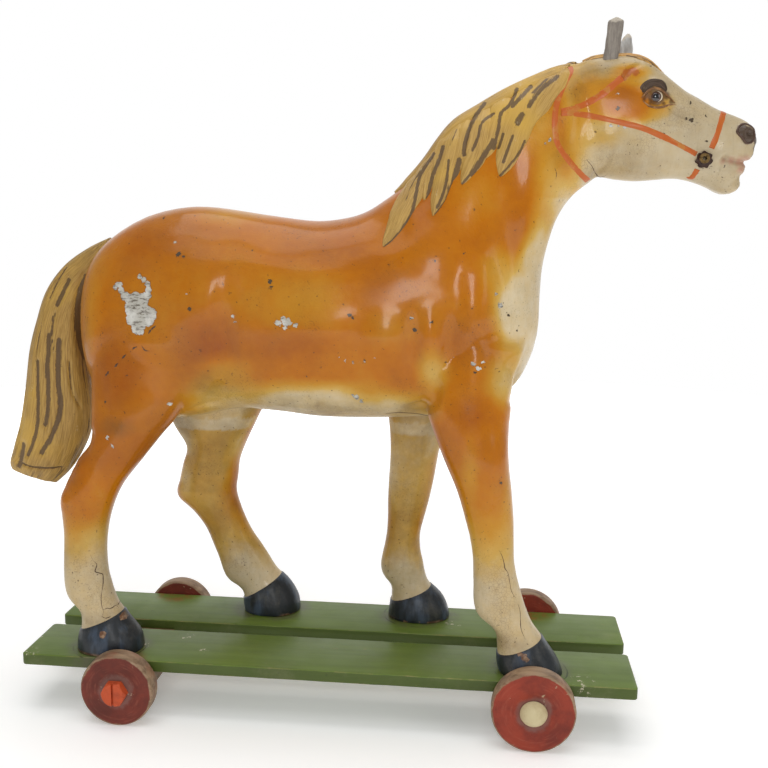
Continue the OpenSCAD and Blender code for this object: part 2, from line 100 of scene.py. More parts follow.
HIND_RIGHT: tuple[Row, ...] = (
    (-160.8, 45, -210, 45, 20, -1), (-162.5, 56, -209.5, 53, 19.5, -1), (-167, 63, -208.5, 58, 17.5, -1),
    (-171.5, 69, -207.5, 62, 15.5, -1), (-175, 75, -207, 69, 14.5, -1), (-178.5, 79, -208, 75, 14.3, -1),
    (-181, 85, -212.5, 80.5, 15, -1), (-183, 91, -217, 86, 15.5, -1), (-185, 99, -219.2, 95, 15.5, -1),
    (-186.3, 106, -219.5, 104, 15, -1), (-187, 121, -219, 119, 14.5, -1), (-185, 140, -218, 137, 15, -1),
    (-180, 158, -219, 155, 16.5, -1), (-172, 175, -217, 169, 17.5, -0.98), (-158, 193, -211, 183, 19, -0.93),
    (-143, 212, -199, 201, 22, -0.88), (-130, 228, -192, 221, 25, -0.82), (-118, 250, -193, 245, 27, -0.75),
    (-108, 280, -199, 275, 27, -0.7), (-112, 315, -200, 305, 25, -0.65), (-126, 345, -190, 335, 18, -0.6),
)
HIND_LEFT: tuple[Row, ...] = (
    (-55.5, 45, -101, 45, 20, 1.05), (-56.5, 55, -102, 50, 19.5, 1.05), (-60.5, 64, -102.3, 54, 17.8, 1.05),
    (-65.5, 71, -102.6, 57, 16.5, 1.05), (-70, 75.5, -103.8, 61, 15.5, 1.05), (-74.5, 80, -108.5, 65.5, 15, 1.05),
    (-78.5, 86, -113.5, 68.2, 15.3, 1.05), (-83, 93.5, -118, 73, 15.8, 1.05), (-86, 98, -121, 80, 15.8, 1.05),
    (-89, 102.5, -124, 90, 15.5, 1.05), (-93, 108, -128, 100, 15, 1.05), (-98, 117, -134.5, 116, 14.5, 1.04),
    (-104, 132, -144.5, 130, 15, 1.02), (-108, 148, -157.5, 143, 17, 1), (-106, 162, -155.5, 156, 18, 0.98),
    (-104, 176, -151.5, 172, 19, 0.95), (-97, 193, -147.5, 187, 21, 0.92), (-87, 213, -157.5, 206, 24, 0.86),
    (-76, 238, -165, 232, 26, 0.78), (-80, 270, -178, 262, 27, 0.71), (-90, 305, -184, 296, 25, 0.65),
    (-110, 338, -182, 328, 18, 0.6),
)
FORE_LEFT: tuple[Row, ...] = (
    (71.3, 45, 21.5, 45, 20, 1.09), (69.3, 54, 22, 51, 19.5, 1.09), (65.5, 62, 22.6, 55.5, 18, 1.09),
    (60.5, 67.5, 23, 59, 16.5, 1.09), (56.5, 71, 23.3, 63, 15.5, 1.09), (53.3, 75.5, 23.2, 68.5, 14.8, 1.09),
    (51.6, 80, 21.5, 73.3, 14.6, 1.09), (50.2, 86, 17, 78.5, 15.2, 1.09), (49.2, 91.5, 14.2, 85, 15.8, 1.09),
    (47.6, 98, 14.2, 92, 16, 1.09), (46.5, 105, 16, 101, 15, 1.09), (46.3, 116, 18.5, 115, 14, 1.08),
    (49.5, 130, 19.5, 130, 14.5, 1.06), (53.5, 146, 19.5, 146, 16, 1.04), (57.5, 166, 20.5, 166, 17, 1.02),
    (61.5, 190, 21.5, 190, 19, 0.98), (68, 215, 20, 215, 21, 0.92), (76, 240, 16, 238, 22, 0.84),
    (84, 270, 16, 265, 21, 0.75),
)
TAIL: tuple[Row, ...] = (
    (-192, 357, -192, 340, 9, 0), (-209, 349, -200, 326, 13, 0), (-228, 336, -206, 310, 15, 0),
    (-243, 317, -211, 294, 17, 0), (-252, 294, -213, 276, 18, 0), (-259, 270, -213, 254, 19, 0),
    (-264, 241, -211, 230, 19, 0), (-270, 212, -213, 208, 19, 0), (-276, 194, -220, 191, 17, 0),
    (-281, 179, -231, 174, 13.5, 0), (-281, 173, -243, 162, 8, 0),
)


class Side(Enum):
    """Which side of the horse a thing is on: the sign of its y."""

    RIGHT = -1
    LEFT = 1
    BOTH = 0


# --------------------------------------------------------------------------- materials


def tint(red: int, green: int, blue: int) -> Color:
    """A display colour, 0 to 255 a channel, as the linear colour a shader takes."""
    parts = [c / 255 for c in (red, green, blue)]
    line = [c / 12.92 if c <= 0.04045 else ((c + 0.055) / 1.055) ** 2.4 for c in parts]
    return (line[0], line[1], line[2], 1.0)


class Shade:
    """A material's node tree while it is being put together."""

    def __init__(self, name: str) -> None:
        """Starts an empty tree with one Principled shader.

        Args:
            name: the material's name.
        """
        self.material = bpy.data.materials.new(name)
        self.material.use_nodes = True
        self.tree = self.material.node_tree
        self.tree.nodes.clear()
        self.out = self.tree.nodes.new("ShaderNodeOutputMaterial")
        self.body = self.tree.nodes.new("ShaderNodeBsdfPrincipled")
        self.tree.links.new(self.body.outputs["BSDF"], self.out.inputs["Surface"])
        self.coords = self.tree.nodes.new("ShaderNodeTexCoord").outputs["Object"]

    def put(self, socket: Socket, value: object) -> None:
        """Links a socket to value, or sets value on it when it is a plain number or colour."""
        if isinstance(value, Socket):
            self.tree.links.new(value, socket)
        else:
            socket.default_value = value

    def node(self, kind: str, out: int | str, feeds: dict[int | str, object], **settings: object) -> Socket:
        """Adds a shader node and feeds it.

        Args:
            kind: the node's type, without ShaderNode.
            out: which output to return.
            feeds: a socket or plain value for each input named or numbered.
            settings: the node's own options.

        Returns:
            The output asked for.
        """
        node = self.tree.nodes.new(f"ShaderNode{kind}")
        for name, value in settings.items():
            setattr(node, name, value)
        for place, value in feeds.items():
            self.put(node.inputs[place], value)
        return node.outputs[out]

    def maths(self, kind: str, a: object, b: object = 0.0, clamp: bool = False) -> Socket:
        """One Math node; returns its value."""
        return self.node("Math", 0, {0: a, 1: b}, operation=kind, use_clamp=clamp)

    def times(self, a: object, b: object, clamp: bool = False) -> Socket:
        """a times b."""
        return self.maths("MULTIPLY", a, b, clamp)

    def plus(self, a: object, b: object, clamp: bool = False) -> Socket:
        """a plus b."""
        return self.maths("ADD", a, b, clamp)

    def minus(self, a: object, b: object) -> Socket:
        """a less b."""
        return self.maths("SUBTRACT", a, b)

    def sway(self, size: float, scale: float, detail: float = 4.0, rough: float = 0.55) -> Socket:
        """Noise centred on zero and size wide."""
        return self.times(self.minus(self.noise(scale, detail, rough), 0.5), size)

    def patch(self, low: float, high: float, scale: float, detail: float = 4.0, rough: float = 0.55) -> Socket:
        """Noise cut to a soft mask: 0 below low, 1 above high."""
        return self.step(self.noise(scale, detail, rough), low, high)

    def vector(self, kind: str, a: object, b: object = (0, 0, 0), out: int = 0) -> Socket:
        """One Vector Math node; returns the output asked for."""
        return self.node("VectorMath", out, {0: a, 1: b}, operation=kind)

    def mix(self, share: object, a: object, b: object) -> Socket:
        """Blends two colours; returns the colour."""
        return self.node("Mix", 2, {0: share, 6: a, 7: b}, data_type="RGBA")

    def placed(self, stretch: Point, turn: Point = (0, 0, 0)) -> Socket:
        """Object coordinates, stretched and turned."""
        return self.node("Mapping", 0, {"Vector": self.coords, "Scale": stretch, "Rotation": turn})

    def noise(
        self, scale: float, detail: float = 4.0, rough: float = 0.55, vector: object = None, colour: bool = False
    ) -> Socket:
        """One Noise node on object coordinates; returns its value or colour."""
        feeds = {"Scale": scale, "Detail": detail, "Roughness": rough}
        feeds["Vector"] = self.coords if vector is None else vector
        return self.node("TexNoise", "Color" if colour else "Fac", feeds)

    def cells(self, scale: float, feature: str) -> Socket:
        """One Voronoi node's distance."""
        return self.node("TexVoronoi", "Distance", {"Scale": scale, "Vector": self.coords}, feature=feature)

    def ramp(self, share: object, stops: tuple[tuple[float, Color], ...]) -> Socket:
        """A colour ramp through the given stops; returns its colour."""
        node = self.tree.nodes.new("ShaderNodeValToRGB")
        while len(node.color_ramp.elements) < len(stops):
            node.color_ramp.elements.new(0.5)
        for element, (place, colour) in zip(node.color_ramp.elements, stops):
            element.position = place
            element.color = colour
        self.put(node.inputs[0], share)
        return node.outputs[0]

    def step(self, value: object, low: float, high: float) -> Socket:
        """0 below low, 1 above high, smooth between."""
        feeds = {"Value": value, "From Min": low, "From Max": high}
        return self.node("MapRange", 0, feeds, interpolation_type="SMOOTHSTEP")

    def painted(self, name: str, kind: str = "Fac") -> Socket:
        """A number, or with kind Vector a vector, stored on the mesh's points."""
        return self.node("Attribute", kind, {}, attribute_name=name)

    def axis(self, which: str) -> Socket:
        """One of the object coordinates X, Y or Z, in metres."""
        return self.node("SeparateXYZ", which, {0: self.coords})

    def bump(self, height: object, strength: float, depth: float, under: object = None) -> Socket:
        """A Bump node; returns its normal, laid over another normal if one is given."""
        feeds = {"Strength": strength, "Distance": depth, "Height": height}
        if under is not None:
            feeds["Normal"] = under
        return self.node("Bump", 0, feeds)

    def discs(self, spots: tuple[Point, ...], ragged: float, grain: float) -> Socket:
        """Signed distance in metres to a union of discs seen from the side, with a ragged edge.

        Args:
            spots: x, z and radius of each disc in millimetres.
            ragged: how far the edge wanders, in metres.
            grain: scale of the wandering.

        Returns:
            A value that is below zero inside any disc.
        """
        wander = self.vector("SUBTRACT", self.noise(grain, 5.0, 0.65, colour=True), (0.5, 0.5, 0.5))
        wander = self.vector("MULTIPLY", wander, (ragged * 2, 0, ragged * 2))
        flat = self.vector("ADD", self.vector("MULTIPLY", self.coords, (1, 0, 1)), wander)
        best: object = None
        for x, z, radius in spots:
            away = self.vector("DISTANCE", flat, (x * MM, 0, z * MM), out=1)
            away = self.minus(away, radius * MM)
            best = away if best is None else self.maths("MINIMUM", best, away)
        return best

    def edge_of(self, middle: Point, half: Point) -> Socket:
        """Distance in metres from a point to the nearest edge line of an upright box."""
        gap = self.vector("ABSOLUTE", self.vector("SUBTRACT", self.coords, tuple(c * MM for c in middle)))
        gap = self.vector("SUBTRACT", tuple(c * MM for c in half), gap)
        node = self.tree.nodes.new("ShaderNodeSeparateXYZ")
        self.put(node.inputs[0], self.vector("ABSOLUTE", gap))
        x, y, z = node.outputs
        pairs = [self.maths("MAXIMUM", x, y), self.maths("MAXIMUM", x, z), self.maths("MAXIMUM", y, z)]
        return self.maths("MINIMUM", self.maths("MINIMUM", pairs[0], pairs[1]), pairs[2])

    def finish(
        self, colour: object, rough: object, normal: object = None, metal: float = 0.0, coat: float = 0.0,
        coat_rough: float = 0.1, shine: float = 0.3
    ) -> Finish:
        """Feeds the shader and returns the material."""
        if not metal:
            self.body.inputs["Specular IOR Level"].default_value = shine
        self.put(self.body.inputs["Base Color"], colour)
        self.put(self.body.inputs["Roughness"], rough)
        self.body.inputs["Metallic"].default_value = metal
        self.body.inputs["Coat Weight"].default_value = coat
        self.body.inputs["Coat Roughness"].default_value = coat_rough
        if normal is not None:
            self.put(self.body.inputs["Normal"], normal)
        return self.material


@dataclass(frozen=True)
class HorsePaint:
    """Airbrushed orange over cream, varnished, with chips, crazing, old dirt and painted shade."""

    cream: Color = tint(206, 190, 158)
    straw: Color = tint(198, 160, 80)
    honey: Color = tint(188, 132, 34)
    orange: Color = tint(178, 104, 0)
    deep: Color = tint(150, 74, 0)
    # Dark brown for the dirt in the crazing, and for the marked grime and painted shade.
    grime_and_shade: Color = tint(88, 64, 36)
    plaster: Color = tint(176, 172, 162)
    brown: Color = tint(60, 42, 28)
    pink: Color = tint(176, 122, 104)
    rubbed: Color = tint(120, 104, 74)
    muzzle: Color = tint(138, 124, 100)
    film: Color = tint(120, 96, 52)
    # Discs: x, z and radius of each.
    big_chip: tuple[Point, ...] = (
        (-168, 323, 2), (-166, 325, 1.8), (-164, 325, 2), (-163, 321, 2.6), (-160, 317, 3.4), (-156, 315, 4.2),
        (-151, 315, 5), (-146, 315, 4.6), (-143, 318, 3.2), (-142, 322, 2.4), (-143, 326, 2.2), (-146, 329, 1.9),
        (-149, 331, 1.8), (-154, 308, 6), (-148, 307, 7.4), (-141, 305, 5.2), (-154, 301, 5), (-149, 299, 6.4),
        (-143, 301, 5), (-151, 294, 3.8), (-148, 293, 3),
    )
    small_chips: tuple[Point, ...] = (
        (-126, 355, 1.5), (-114, 320, 0.8), (5, 246, 1.9), (8, 243, 1.5), (3, 248, 1.2), (-131, 239, 1.3),
        (-82, 304, 1.2), (-80, 300, 0.9), (-45, 303, 2), (-49, 300, 2.2), (-41, 301, 2.4), (-36, 299, 1.6),
        (-44, 297, 1.5), (45, 305, 1.1), (106, 314, 1.8), (103, 322, 1.2), (-176, 214, 1.3), (182, 459, 0.7),
        (178, 438, 0.9), (183, 437, 0.7), (188, 437, 1), (196, 437, 0.8), (88, 274, 1.4), (92, 271, 1.6),
        (95, 275, 1), (137, 428, 1.1), (134, 425, 0.8), (-172, 208, 1), (-5.5, 276.7, 0.5), (-1.5, 274.4, 0.6),
        (4.4, 273.2, 0.7), (8, 273.8, 0.5), (11.5, 274.3, 0.8), (19.7, 276.6, 0.5), (-43, 301, 3),
    )
    dark_pits: tuple[Point, ...] = (
        (-122, 347, 1.6), (-118, 345.5, 1.1), (-55, 329, 1.5), (-54, 325, 1.1), (-112, 309, 1.4), (-118, 295, 0.7),
        (2, 307, 1.5), (4, 305, 1), (47, 297, 1.5), (59, 303, 1.1), (90, 268, 0.9), (-178, 240, 1.2), (86, 380, 0.6),
        (112, 307, 0.9), (118, 296, 0.6), (-30, 262, 0.7), (243.5, 445, 0.9), (232.5, 453.5, 1.2), (244.5, 428, 0.9),
        (235, 401, 0.8), (257.5, 411, 0.7), (259, 451, 0.8), (233, 442, 1.5), (230, 443, 1), (182.5, 449, 1.1),
        (214, 432, 0.6), (12, 275, 0.7), (-160, 260, 0.7), (60, 345, 0.8), (80, 350, 0.6), (-70, 350, 0.7),
        (-140, 372, 0.9), (110, 190, 0.9),
    )
    lid_shadow: tuple[Point, ...] = (
        (201, 458, 2.8), (204, 461.5, 3), (210, 461.5, 3.2), (214.5, 458, 3), (218.5, 454, 1.8), (208, 457, 6.2),
        (200, 455.5, 1.8), (204, 452.5, 1.6), (213, 452.5, 1.6),
    )
    temple_red: tuple[Point, ...] = ((188, 473, 3.2), (192, 475, 2.6), (185, 470, 2.4), (194, 473, 2.0))
    nose_dark: tuple[Point, ...] = (
        (267, 434.5, 2.4), (269, 436.5, 3.2), (271.5, 433, 5.4), (274.5, 431.5, 4.6), (278, 436, 3), (281, 433, 2.8),
        (281.5, 429, 4.2), (281.5, 423.5, 3.6), (272, 429.5, 3.4), (278, 431, 3.4), (280.5, 418.5, 2.8),
    )
    lip_pink: tuple[Point, ...] = (
        (257, 415, 2.0), (262, 415, 2.8), (268, 414, 3.6), (273, 414, 4.6), (278, 413, 4.6), (270, 409, 3.0)
    )

    def make(self) -> Finish:
        """Builds the varnished body paint from the mesh's tone and its marks of grime and painted shade."""
        s = Shade("horse_paint")
        right = s.step(s.axis("Y"), -0.004, -0.008)
        colour, pale = self.sprayed(s)
        colour = self.aged(s, colour, pale)
        colour = self.features(s, colour, right)
        colour, holes = self.chipped(s, colour, right)
        rough = s.plus(s.times(holes, 0.5), s.times(s.noise(40.0, 4.0), 0.26))
        rough = s.plus(rough, s.times(s.painted("grime_and_shade"), 0.3))
        rough = s.plus(rough, s.times(pale, 0.16), clamp=True)
        return s.finish(colour, s.plus(rough, 0.18), self.relief(s, holes), coat=0.32, coat_rough=0.13, shine=0.12)

    def sprayed(self, s: Shade) -> tuple[Socket, Socket]:
        """The airbrushed colour, and how much of the cream shows."""
        mottle = s.sway(0.42, 15.0, 5.0)
        fine = s.sway(0.14, 170.0, 3.0)
        tone = s.plus(s.plus(s.painted("tone"), mottle), fine, clamp=True)
        stops = ((0.0, self.cream), (0.26, self.straw), (0.5, self.honey), (0.76, self.orange), (1.0, self.deep))
        return s.ramp(tone, stops), s.step(tone, 0.5, 0.12)

    def aged(self, s: Shade, colour: Socket, pale: Socket) -> Socket:
        """The colour after crazing, rubbing, soot and painted shade, yellowed varnish and specks.

        Args:
            s: the tree being built.
            colour: the fresh paint.
            pale: how much of the cream shows.

        Returns:
            The aged colour.
        """
        craze = s.cells(420.0, "DISTANCE_TO_EDGE")
        crackle = s.times(s.step(craze, 0.06, 0.0), s.patch(0.5, 0.64, 16.0, 4.0))
        colour = s.mix(s.times(s.times(crackle, pale), 0.42), colour, self.grime_and_shade)
        streaks = s.noise(1.0, 5.0, 0.7, vector=s.placed((420, 90, 60)))
        rubbed = s.times(s.step(streaks, 0.52, 0.72), pale)
        colour = s.mix(s.times(rubbed, 0.16), colour, self.rubbed)
        # Darkens the marked points: real soot and grime, and painted shade under the belly, on the far legs, beside
        # the tail, on the cheek and in the leg folds.
        soot_and_shade = s.times(s.painted("grime_and_shade"), s.patch(0.22, 0.72, 34.0, 7.0, 0.72))
        colour = s.mix(s.times(soot_and_shade, 0.85, clamp=True), colour, self.grime_and_shade)
        muzzle = s.times(s.step(s.axis("X"), 0.150, 0.180), pale)
        cloud = s.plus(s.times(s.noise(26.0, 5.0, 0.65), 0.5), 0.08)
        colour = s.mix(s.times(muzzle, cloud), colour, self.muzzle)
        film = s.times(s.patch(0.4, 0.72, 11.0, 6.0, 0.65), 0.20)
        colour = s.mix(film, colour, self.film)
        specks = s.patch(0.68, 0.75, 400.0, 2.0, 0.5)
        colour = s.mix(s.times(specks, 0.7), colour, self.brown)
        tiny = s.times(s.patch(0.60, 0.68, 760.0, 2.0, 0.5), s.patch(0.48, 0.66, 22.0, 4.0))
        return s.mix(s.times(tiny, 0.35), colour, self.brown)

    def features(self, s: Shade, colour: Socket, right: Socket) -> Socket:
        """The colour with lips, eyelids, nostrils and the red mark on the temple.

        Args:
            s: the tree being built.
            colour: the paint so far.
            right: 1 on the right side.

        Returns:
            The colour with the face painted on.
        """
        lips = s.step(s.discs(self.lip_pink, 0.0024, 160.0), 0.0016, -0.0026)
        lids = s.step(s.discs(self.lid_shadow, 0.0010, 300.0), 0.0012, -0.0014)
        nose = s.step(s.discs(self.nose_dark, 0.0018, 200.0), 0.0006, -0.0010)
        temple = s.step(s.discs(self.temple_red, 0.0026, 260.0), 0.0004, -0.0008)
        marks = (
            (lips, 0.62, self.pink), (lids, 0.80, tint(74, 46, 28)), (nose, 0.92, tint(58, 40, 34)),
            (s.times(temple, right), 0.6, tint(150, 62, 32)),
        )
        for mask, share, paint in marks:
            colour = s.mix(s.times(mask, share), colour, paint)
        return colour

    def chipped(self, s: Shade, colour: Socket, right: Socket) -> tuple[Socket, Socket]:
        """The colour with its chips, flakes and pits, and where they are.

        Args:
            s: the tree being built.
            colour: the whole paint.
            right: 1 on the right side.

        Returns:
            The chipped colour and a mask of the holes.
        """
        patch = s.discs(self.big_chip, 0.0022, 300.0)
        big = s.times(s.step(patch, 0.0002, -0.0002), right)
        rim = s.times(s.step(patch, 0.0008, 0.0), right)
        small = s.times(s.step(s.discs(self.small_chips, 0.0030, 380.0), 0.0001, -0.0002), right)
        pits = s.times(s.step(s.discs(self.dark_pits, 0.0024, 420.0), 0.0001, -0.0002), right)
        flakes = s.times(s.patch(0.742, 0.75, 110.0, 6.0, 0.68), s.patch(0.45, 0.55, 9.0, 2.0))
        bare = s.maths("MAXIMUM", s.maths("MAXIMUM", big, small), flakes)
        scratch = s.noise(1.0, 5.0, 0.72, vector=s.placed((240, 240, 760), (0, 0.6, 0)))
        plaster = s.mix(s.step(scratch, 0.46, 0.62), self.plaster, tint(92, 84, 74))
        plaster = s.mix(s.patch(0.4, 0.7, 90.0, 4.0), plaster, tint(205, 203, 196))
        colour = s.mix(s.times(rim, 0.5), colour, tint(110, 70, 30))
        colour = s.mix(pits, s.mix(bare, colour, plaster), tint(78, 66, 52))
        return colour, s.maths("MAXIMUM", bare, pits)

    def relief(self, s: Shade, holes: Socket) -> Socket:
        """The varnish's waves and wrinkles, and the sunk holes, as a normal."""
        normal = s.bump(s.noise(24.0, 3.0, 0.5), 0.35, 0.0014)
        wrinkle = s.step(s.cells(330.0, "DISTANCE_TO_EDGE"), 0.0, 0.22)
        normal = s.bump(wrinkle, 0.10, 0.0004, normal)
        runs = s.noise(1.0, 4.0, 0.6, vector=s.placed((150, 150, 420), (0.2, 0.3, 0)))
        normal = s.bump(runs, 0.16, 0.0005, normal)
        normal = s.bump(s.noise(230.0, 4.0, 0.65), 0.20, 0.0005, normal)
        return s.bump(s.minus(1.0, holes), 0.7, 0.0006, normal)


@dataclass(frozen=True)
class HoofPaint:
    """Blue-black hoof paint rubbed through to brown and plaster at its edges."""

    base: Color = tint(34, 38, 42)
    blue: Color = tint(64, 76, 92)
    rub: Color = tint(150, 122, 96)
    chips: tuple[Point, ...] = (
        (-184.8, 62, 2.6), (-172.5, 72.5, 2.8), (-170, 73, 1.8), (129.8, 63, 2.6), (127, 64.5, 1.8), (132, 61, 1.6)
    )

    def make(self) -> Finish:
        """Builds the hoof paint."""
        s = Shade("hoof_paint")
        streak = s.noise(1.0, 4.0, 0.6, vector=s.placed((70, 70, 16), (0, 0.5, 0)))
        colour = s.mix(s.step(streak, 0.46, 0.7), self.base, self.blue)
        low = s.step(s.axis("Z"), 0.0482, 0.0455)
        worn = s.times(low, s.patch(0.50, 0.56, 90.0, 5.0, 0.7))
        right = s.step(s.axis("Y"), -0.04, -0.05)
        marks = s.times(s.step(s.discs(self.chips, 0.0022, 330.0), 0.0002, -0.0003), right)
        chips = s.maths("MAXIMUM", s.maths("MAXIMUM", s.patch(0.715, 0.73, 120.0, 5.0, 0.68), worn), marks)
        rub = s.mix(s.patch(0.4, 0.6, 260.0, 4.0), self.rub, tint(104, 70, 48))
        colour = s.mix(chips, colour, rub)
        dust = s.times(s.patch(0.46, 0.8, 60.0, 6.0, 0.7), 0.25)
        colour = s.mix(dust, colour, tint(130, 124, 108))
        rough = s.plus(s.times(s.noise(80.0, 4.0), 0.3), 0.28)
        height = s.minus(s.noise(150.0, 5.0, 0.65), s.times(chips, 0.6))
        return s.finish(colour, rough, s.bump(height, 0.5, 0.0009), coat=0.15, coat_rough=0.25)


@dataclass(frozen=True)
class HairPaint:
    """Mustard hair paint with brown brush strokes running along the locks and in their grooves, and painted shade
    along the locks' edges.
    """

    name: str
    light: Color = tint(186, 150, 80)
    dull: Color = tint(150, 116, 58)
    stroke: Color = tint(68, 50, 36)
    ochre: Color = tint(196, 156, 66)
    wide: float = 0.62
    long: float = 0.030
    share: float = 0.555
    inked: bool = False

    def make(self) -> Finish:
        """Builds the hair paint from the mesh's flow, groove and ridge marks; the groove marks carry the strokes in
        the grooves and the painted shade along the edges.
        """
        s = Shade(self.name)
        flow = s.painted("flow", "Vector")
        fine = s.noise(1.0, 4.0, 0.6, vector=s.vector("MULTIPLY", flow, (self.long * 2.2, self.wide * 2.4, 1.0)))
        colour = s.mix(s.step(fine, 0.34, 0.66), self.light, self.dull)
        colour = s.mix(s.patch(0.48, 0.68, 12.0, 3.0), colour, self.ochre)
        brush = s.noise(1.0, 3.0, 0.55, vector=s.vector("MULTIPLY", flow, (self.long, self.wide, 1.0)))
        edge = s.sway(0.10, 260.0, 4.0, 0.7)
        brush = s.plus(brush, edge)
        clump = s.sway(0.22, 26.0, 3.0)
        drawn = s.step(s.plus(brush, clump), self.share, self.share + 0.035)
        drawn = s.times(drawn, s.step(s.axis("Y"), -0.016, -0.004) if self.inked else 1.0)
        torn = s.times(
            s.minus(s.noise(1.0, 5.0, 0.7, vector=s.vector("MULTIPLY", flow, (0.05, 0.9, 1.0))), 0.5), 0.75
        )
        torn = s.plus(torn, s.sway(0.5, 300.0, 4.0, 0.7))
        ink = s.step(s.plus(s.painted("ink"), torn), 0.48, 0.66)
        drawn = s.maths("MAXIMUM", drawn, s.times(ink, s.step(s.painted("ink"), 0.05, 0.2)))
        ragged = s.sway(0.7, 170.0, 5.0, 0.7)
        # Dark strokes in the grooves, and painted shade along the edges of the locks.
        groove_strokes_and_shade = s.step(s.plus(s.painted("groove_strokes_and_shade"), ragged), 0.55, 0.8)
        dark = s.maths("MAXIMUM", drawn, groove_strokes_and_shade)
        tone = s.mix(s.noise(300.0, 3.0), self.stroke, tint(92, 70, 46))
        colour = s.mix(s.times(dark, 0.86), colour, tone)
        nicks = s.patch(0.69, 0.73, 420.0, 3.0, 0.6)
        colour = s.mix(s.times(nicks, 0.6), colour, tint(60, 44, 30))
        worn = s.times(s.step(s.painted("ridge"), 0.55, 0.95), s.patch(0.60, 0.68, 140.0, 5.0, 0.7))
        colour = s.mix(s.times(worn, 0.4), colour, tint(206, 192, 156))
        rough = s.plus(s.times(s.noise(70.0, 4.0), 0.3), 0.34)
        height = s.minus(fine, s.times(dark, 0.5))
        return s.finish(colour, rough, s.bump(height, 0.55, 0.0009), coat=0.1, coat_rough=0.3)


@dataclass(frozen=True)
class LinePaint:
    """A hand-painted line or crack: one colour, thinned and broken in places."""

    name: str
    base: Color
    thin: Color
    break_at: float = 0.62
    gloss: float = 0.3

    def make(self) -> Finish:
        """Builds the line paint."""
        s = Shade(self.name)
        colour = s.mix(s.step(s.noise(90.0, 5.0, 0.65), self.break_at, self.break_at + 0.06), self.base, self.thin)
        colour = s.mix(s.times(s.noise(30.0, 3.0), 0.45), colour, self.thin)
        rough = s.plus(s.times(s.noise(140.0, 3.0), 0.3), self.gloss)
        return s.finish(colour, rough, s.bump(s.noise(200.0, 3.0), 0.3, 0.0003), coat=0.2, coat_rough=0.2)


@dataclass(frozen=True)
class WoodPaint:
    """Painted or bare wood with grain along x, worn at the edges of a box, and where asked with painted shade on its
    sides and round the hooves.
    """

    name: str
    paint: Color
    shade: Color
    bare: Color
    middle: Point
    half: Point
    wear: float = 1.6
    grain: Point = (9, 120, 120)
    rubs: tuple[Point, ...] = ()
    rub_colour: Color = tint(150, 62, 40)
    deep: Color = tint(50, 58, 24)
    # How much the sides below the top are darkened as painted shade.
    shaded_sides: float = 0.0
    # x, y and reach of each hoof standing on the board: a painted shadow round it and a dark ring.
    hoof_rings_and_shadows: tuple[Point, ...] = ()
    crumbs: tuple[Point, ...] = ()

    def make(self) -> Finish:
        """Builds the wood with its paint, grain, edge wear and dust, and painted shade on its sides and round the
        hooves.
        """
        s = Shade(self.name)
        grain = s.noise(1.0, 6.0, 0.62, vector=s.placed(self.grain))
        colour = s.mix(s.times(s.step(grain, 0.32, 0.7), 0.45), self.paint, self.shade)
        colour = s.mix(s.times(s.patch(0.42, 0.7, 14.0, 5.0, 0.6), 0.5), colour, self.shade)
        specks = s.patch(0.68, 0.73, 330.0, 3.0, 0.6)
        colour = s.mix(s.times(specks, 0.5), colour, self.deep)
        # Painted shade: the board's sides below its top are darkened.
        shade_line = s.plus(s.axis("Z"), s.sway(0.001, 130.0, 4.0))
        colour = s.mix(s.times(s.step(shade_line, 0.0446, 0.0440), self.shaded_sides), colour, self.deep)
        edge = s.edge_of(self.middle, self.half)
        ragged = s.minus(edge, s.times(s.minus(s.noise(48.0, 6.0, 0.7), 0.42), self.wear * 4 * MM))
        rubbed = s.step(ragged, 0.0004, -0.0001)
        nicks = s.step(s.noise(1.0, 5.0, 0.7, vector=s.placed((60, 210, 210))), 0.70, 0.715)
        bare = s.maths("MAXIMUM", rubbed, nicks)
        wood = s.mix(grain, self.bare, self.shade)
        colour = s.mix(s.times(bare, 0.85), colour, wood)
        for x, y, reach in self.rubs:
            away = s.vector("DISTANCE", s.vector("MULTIPLY", s.coords, (1, 1, 0)), (x * MM, y * MM, 0), out=1)
            ring = s.step(away, reach * MM, reach * 0.55 * MM)
            ring = s.times(ring, s.patch(0.38, 0.6, 70.0, 6.0, 0.7))
            colour = s.mix(s.times(ring, 0.55), colour, self.rub_colour)
        dust = s.patch(0.5, 0.8, 26.0, 7.0, 0.72)
        colour = s.mix(s.times(dust, 0.2), colour, tint(150, 146, 116))
        # Painted shadow round each hoof, then a dark ring at the hoof's edge.
        for x, y, reach in self.hoof_rings_and_shadows:
            away = s.vector("SUBTRACT", s.vector("MULTIPLY", s.coords, (1, 1.12, 0)), (x * MM, y * 1.12 * MM, 0))
            away = s.vector("LENGTH", away, out=1)
            away = s.plus(away, s.sway(0.004, 50.0, 4.0))
            hoof_shadow = s.times(
                s.step(away, (reach + 9) * MM, (reach - 3) * MM), s.patch(0.34, 0.62, 60.0, 6.0, 0.72)
            )
            colour = s.mix(s.times(hoof_shadow, 0.6), colour, tint(92, 86, 72))
            line = s.times(
                s.step(s.maths("ABSOLUTE", s.minus(away, reach * MM)), 0.0009, 0.0001),
                s.step(s.axis("Z"), 0.0440, 0.0446)
            )
            colour = s.mix(s.times(line, s.patch(0.46, 0.66, 40.0, 4.0)), colour, self.deep)
        for x, y, reach in self.crumbs:
            away = s.vector("DISTANCE", s.vector("MULTIPLY", s.coords, (1, 1, 0)), (x * MM, y * MM, 0), out=1)
            near = s.step(away, reach * MM, reach * 0.4 * MM)
            bits = s.times(near, s.patch(0.56, 0.62, 230.0, 5.0, 0.7))
            colour = s.mix(s.times(bits, 0.9), colour, tint(206, 198, 172))
        rough = s.plus(s.times(s.noise(50.0, 4.0), 0.28), s.times(bare, 0.25))
        normal = s.bump(grain, 0.35, 0.0005)
        normal = s.bump(s.minus(1.0, bare), 0.4, 0.0003, normal)
        return s.finish(colour, s.plus(rough, 0.3, clamp=True), normal, coat=0.08, coat_rough=0.3)


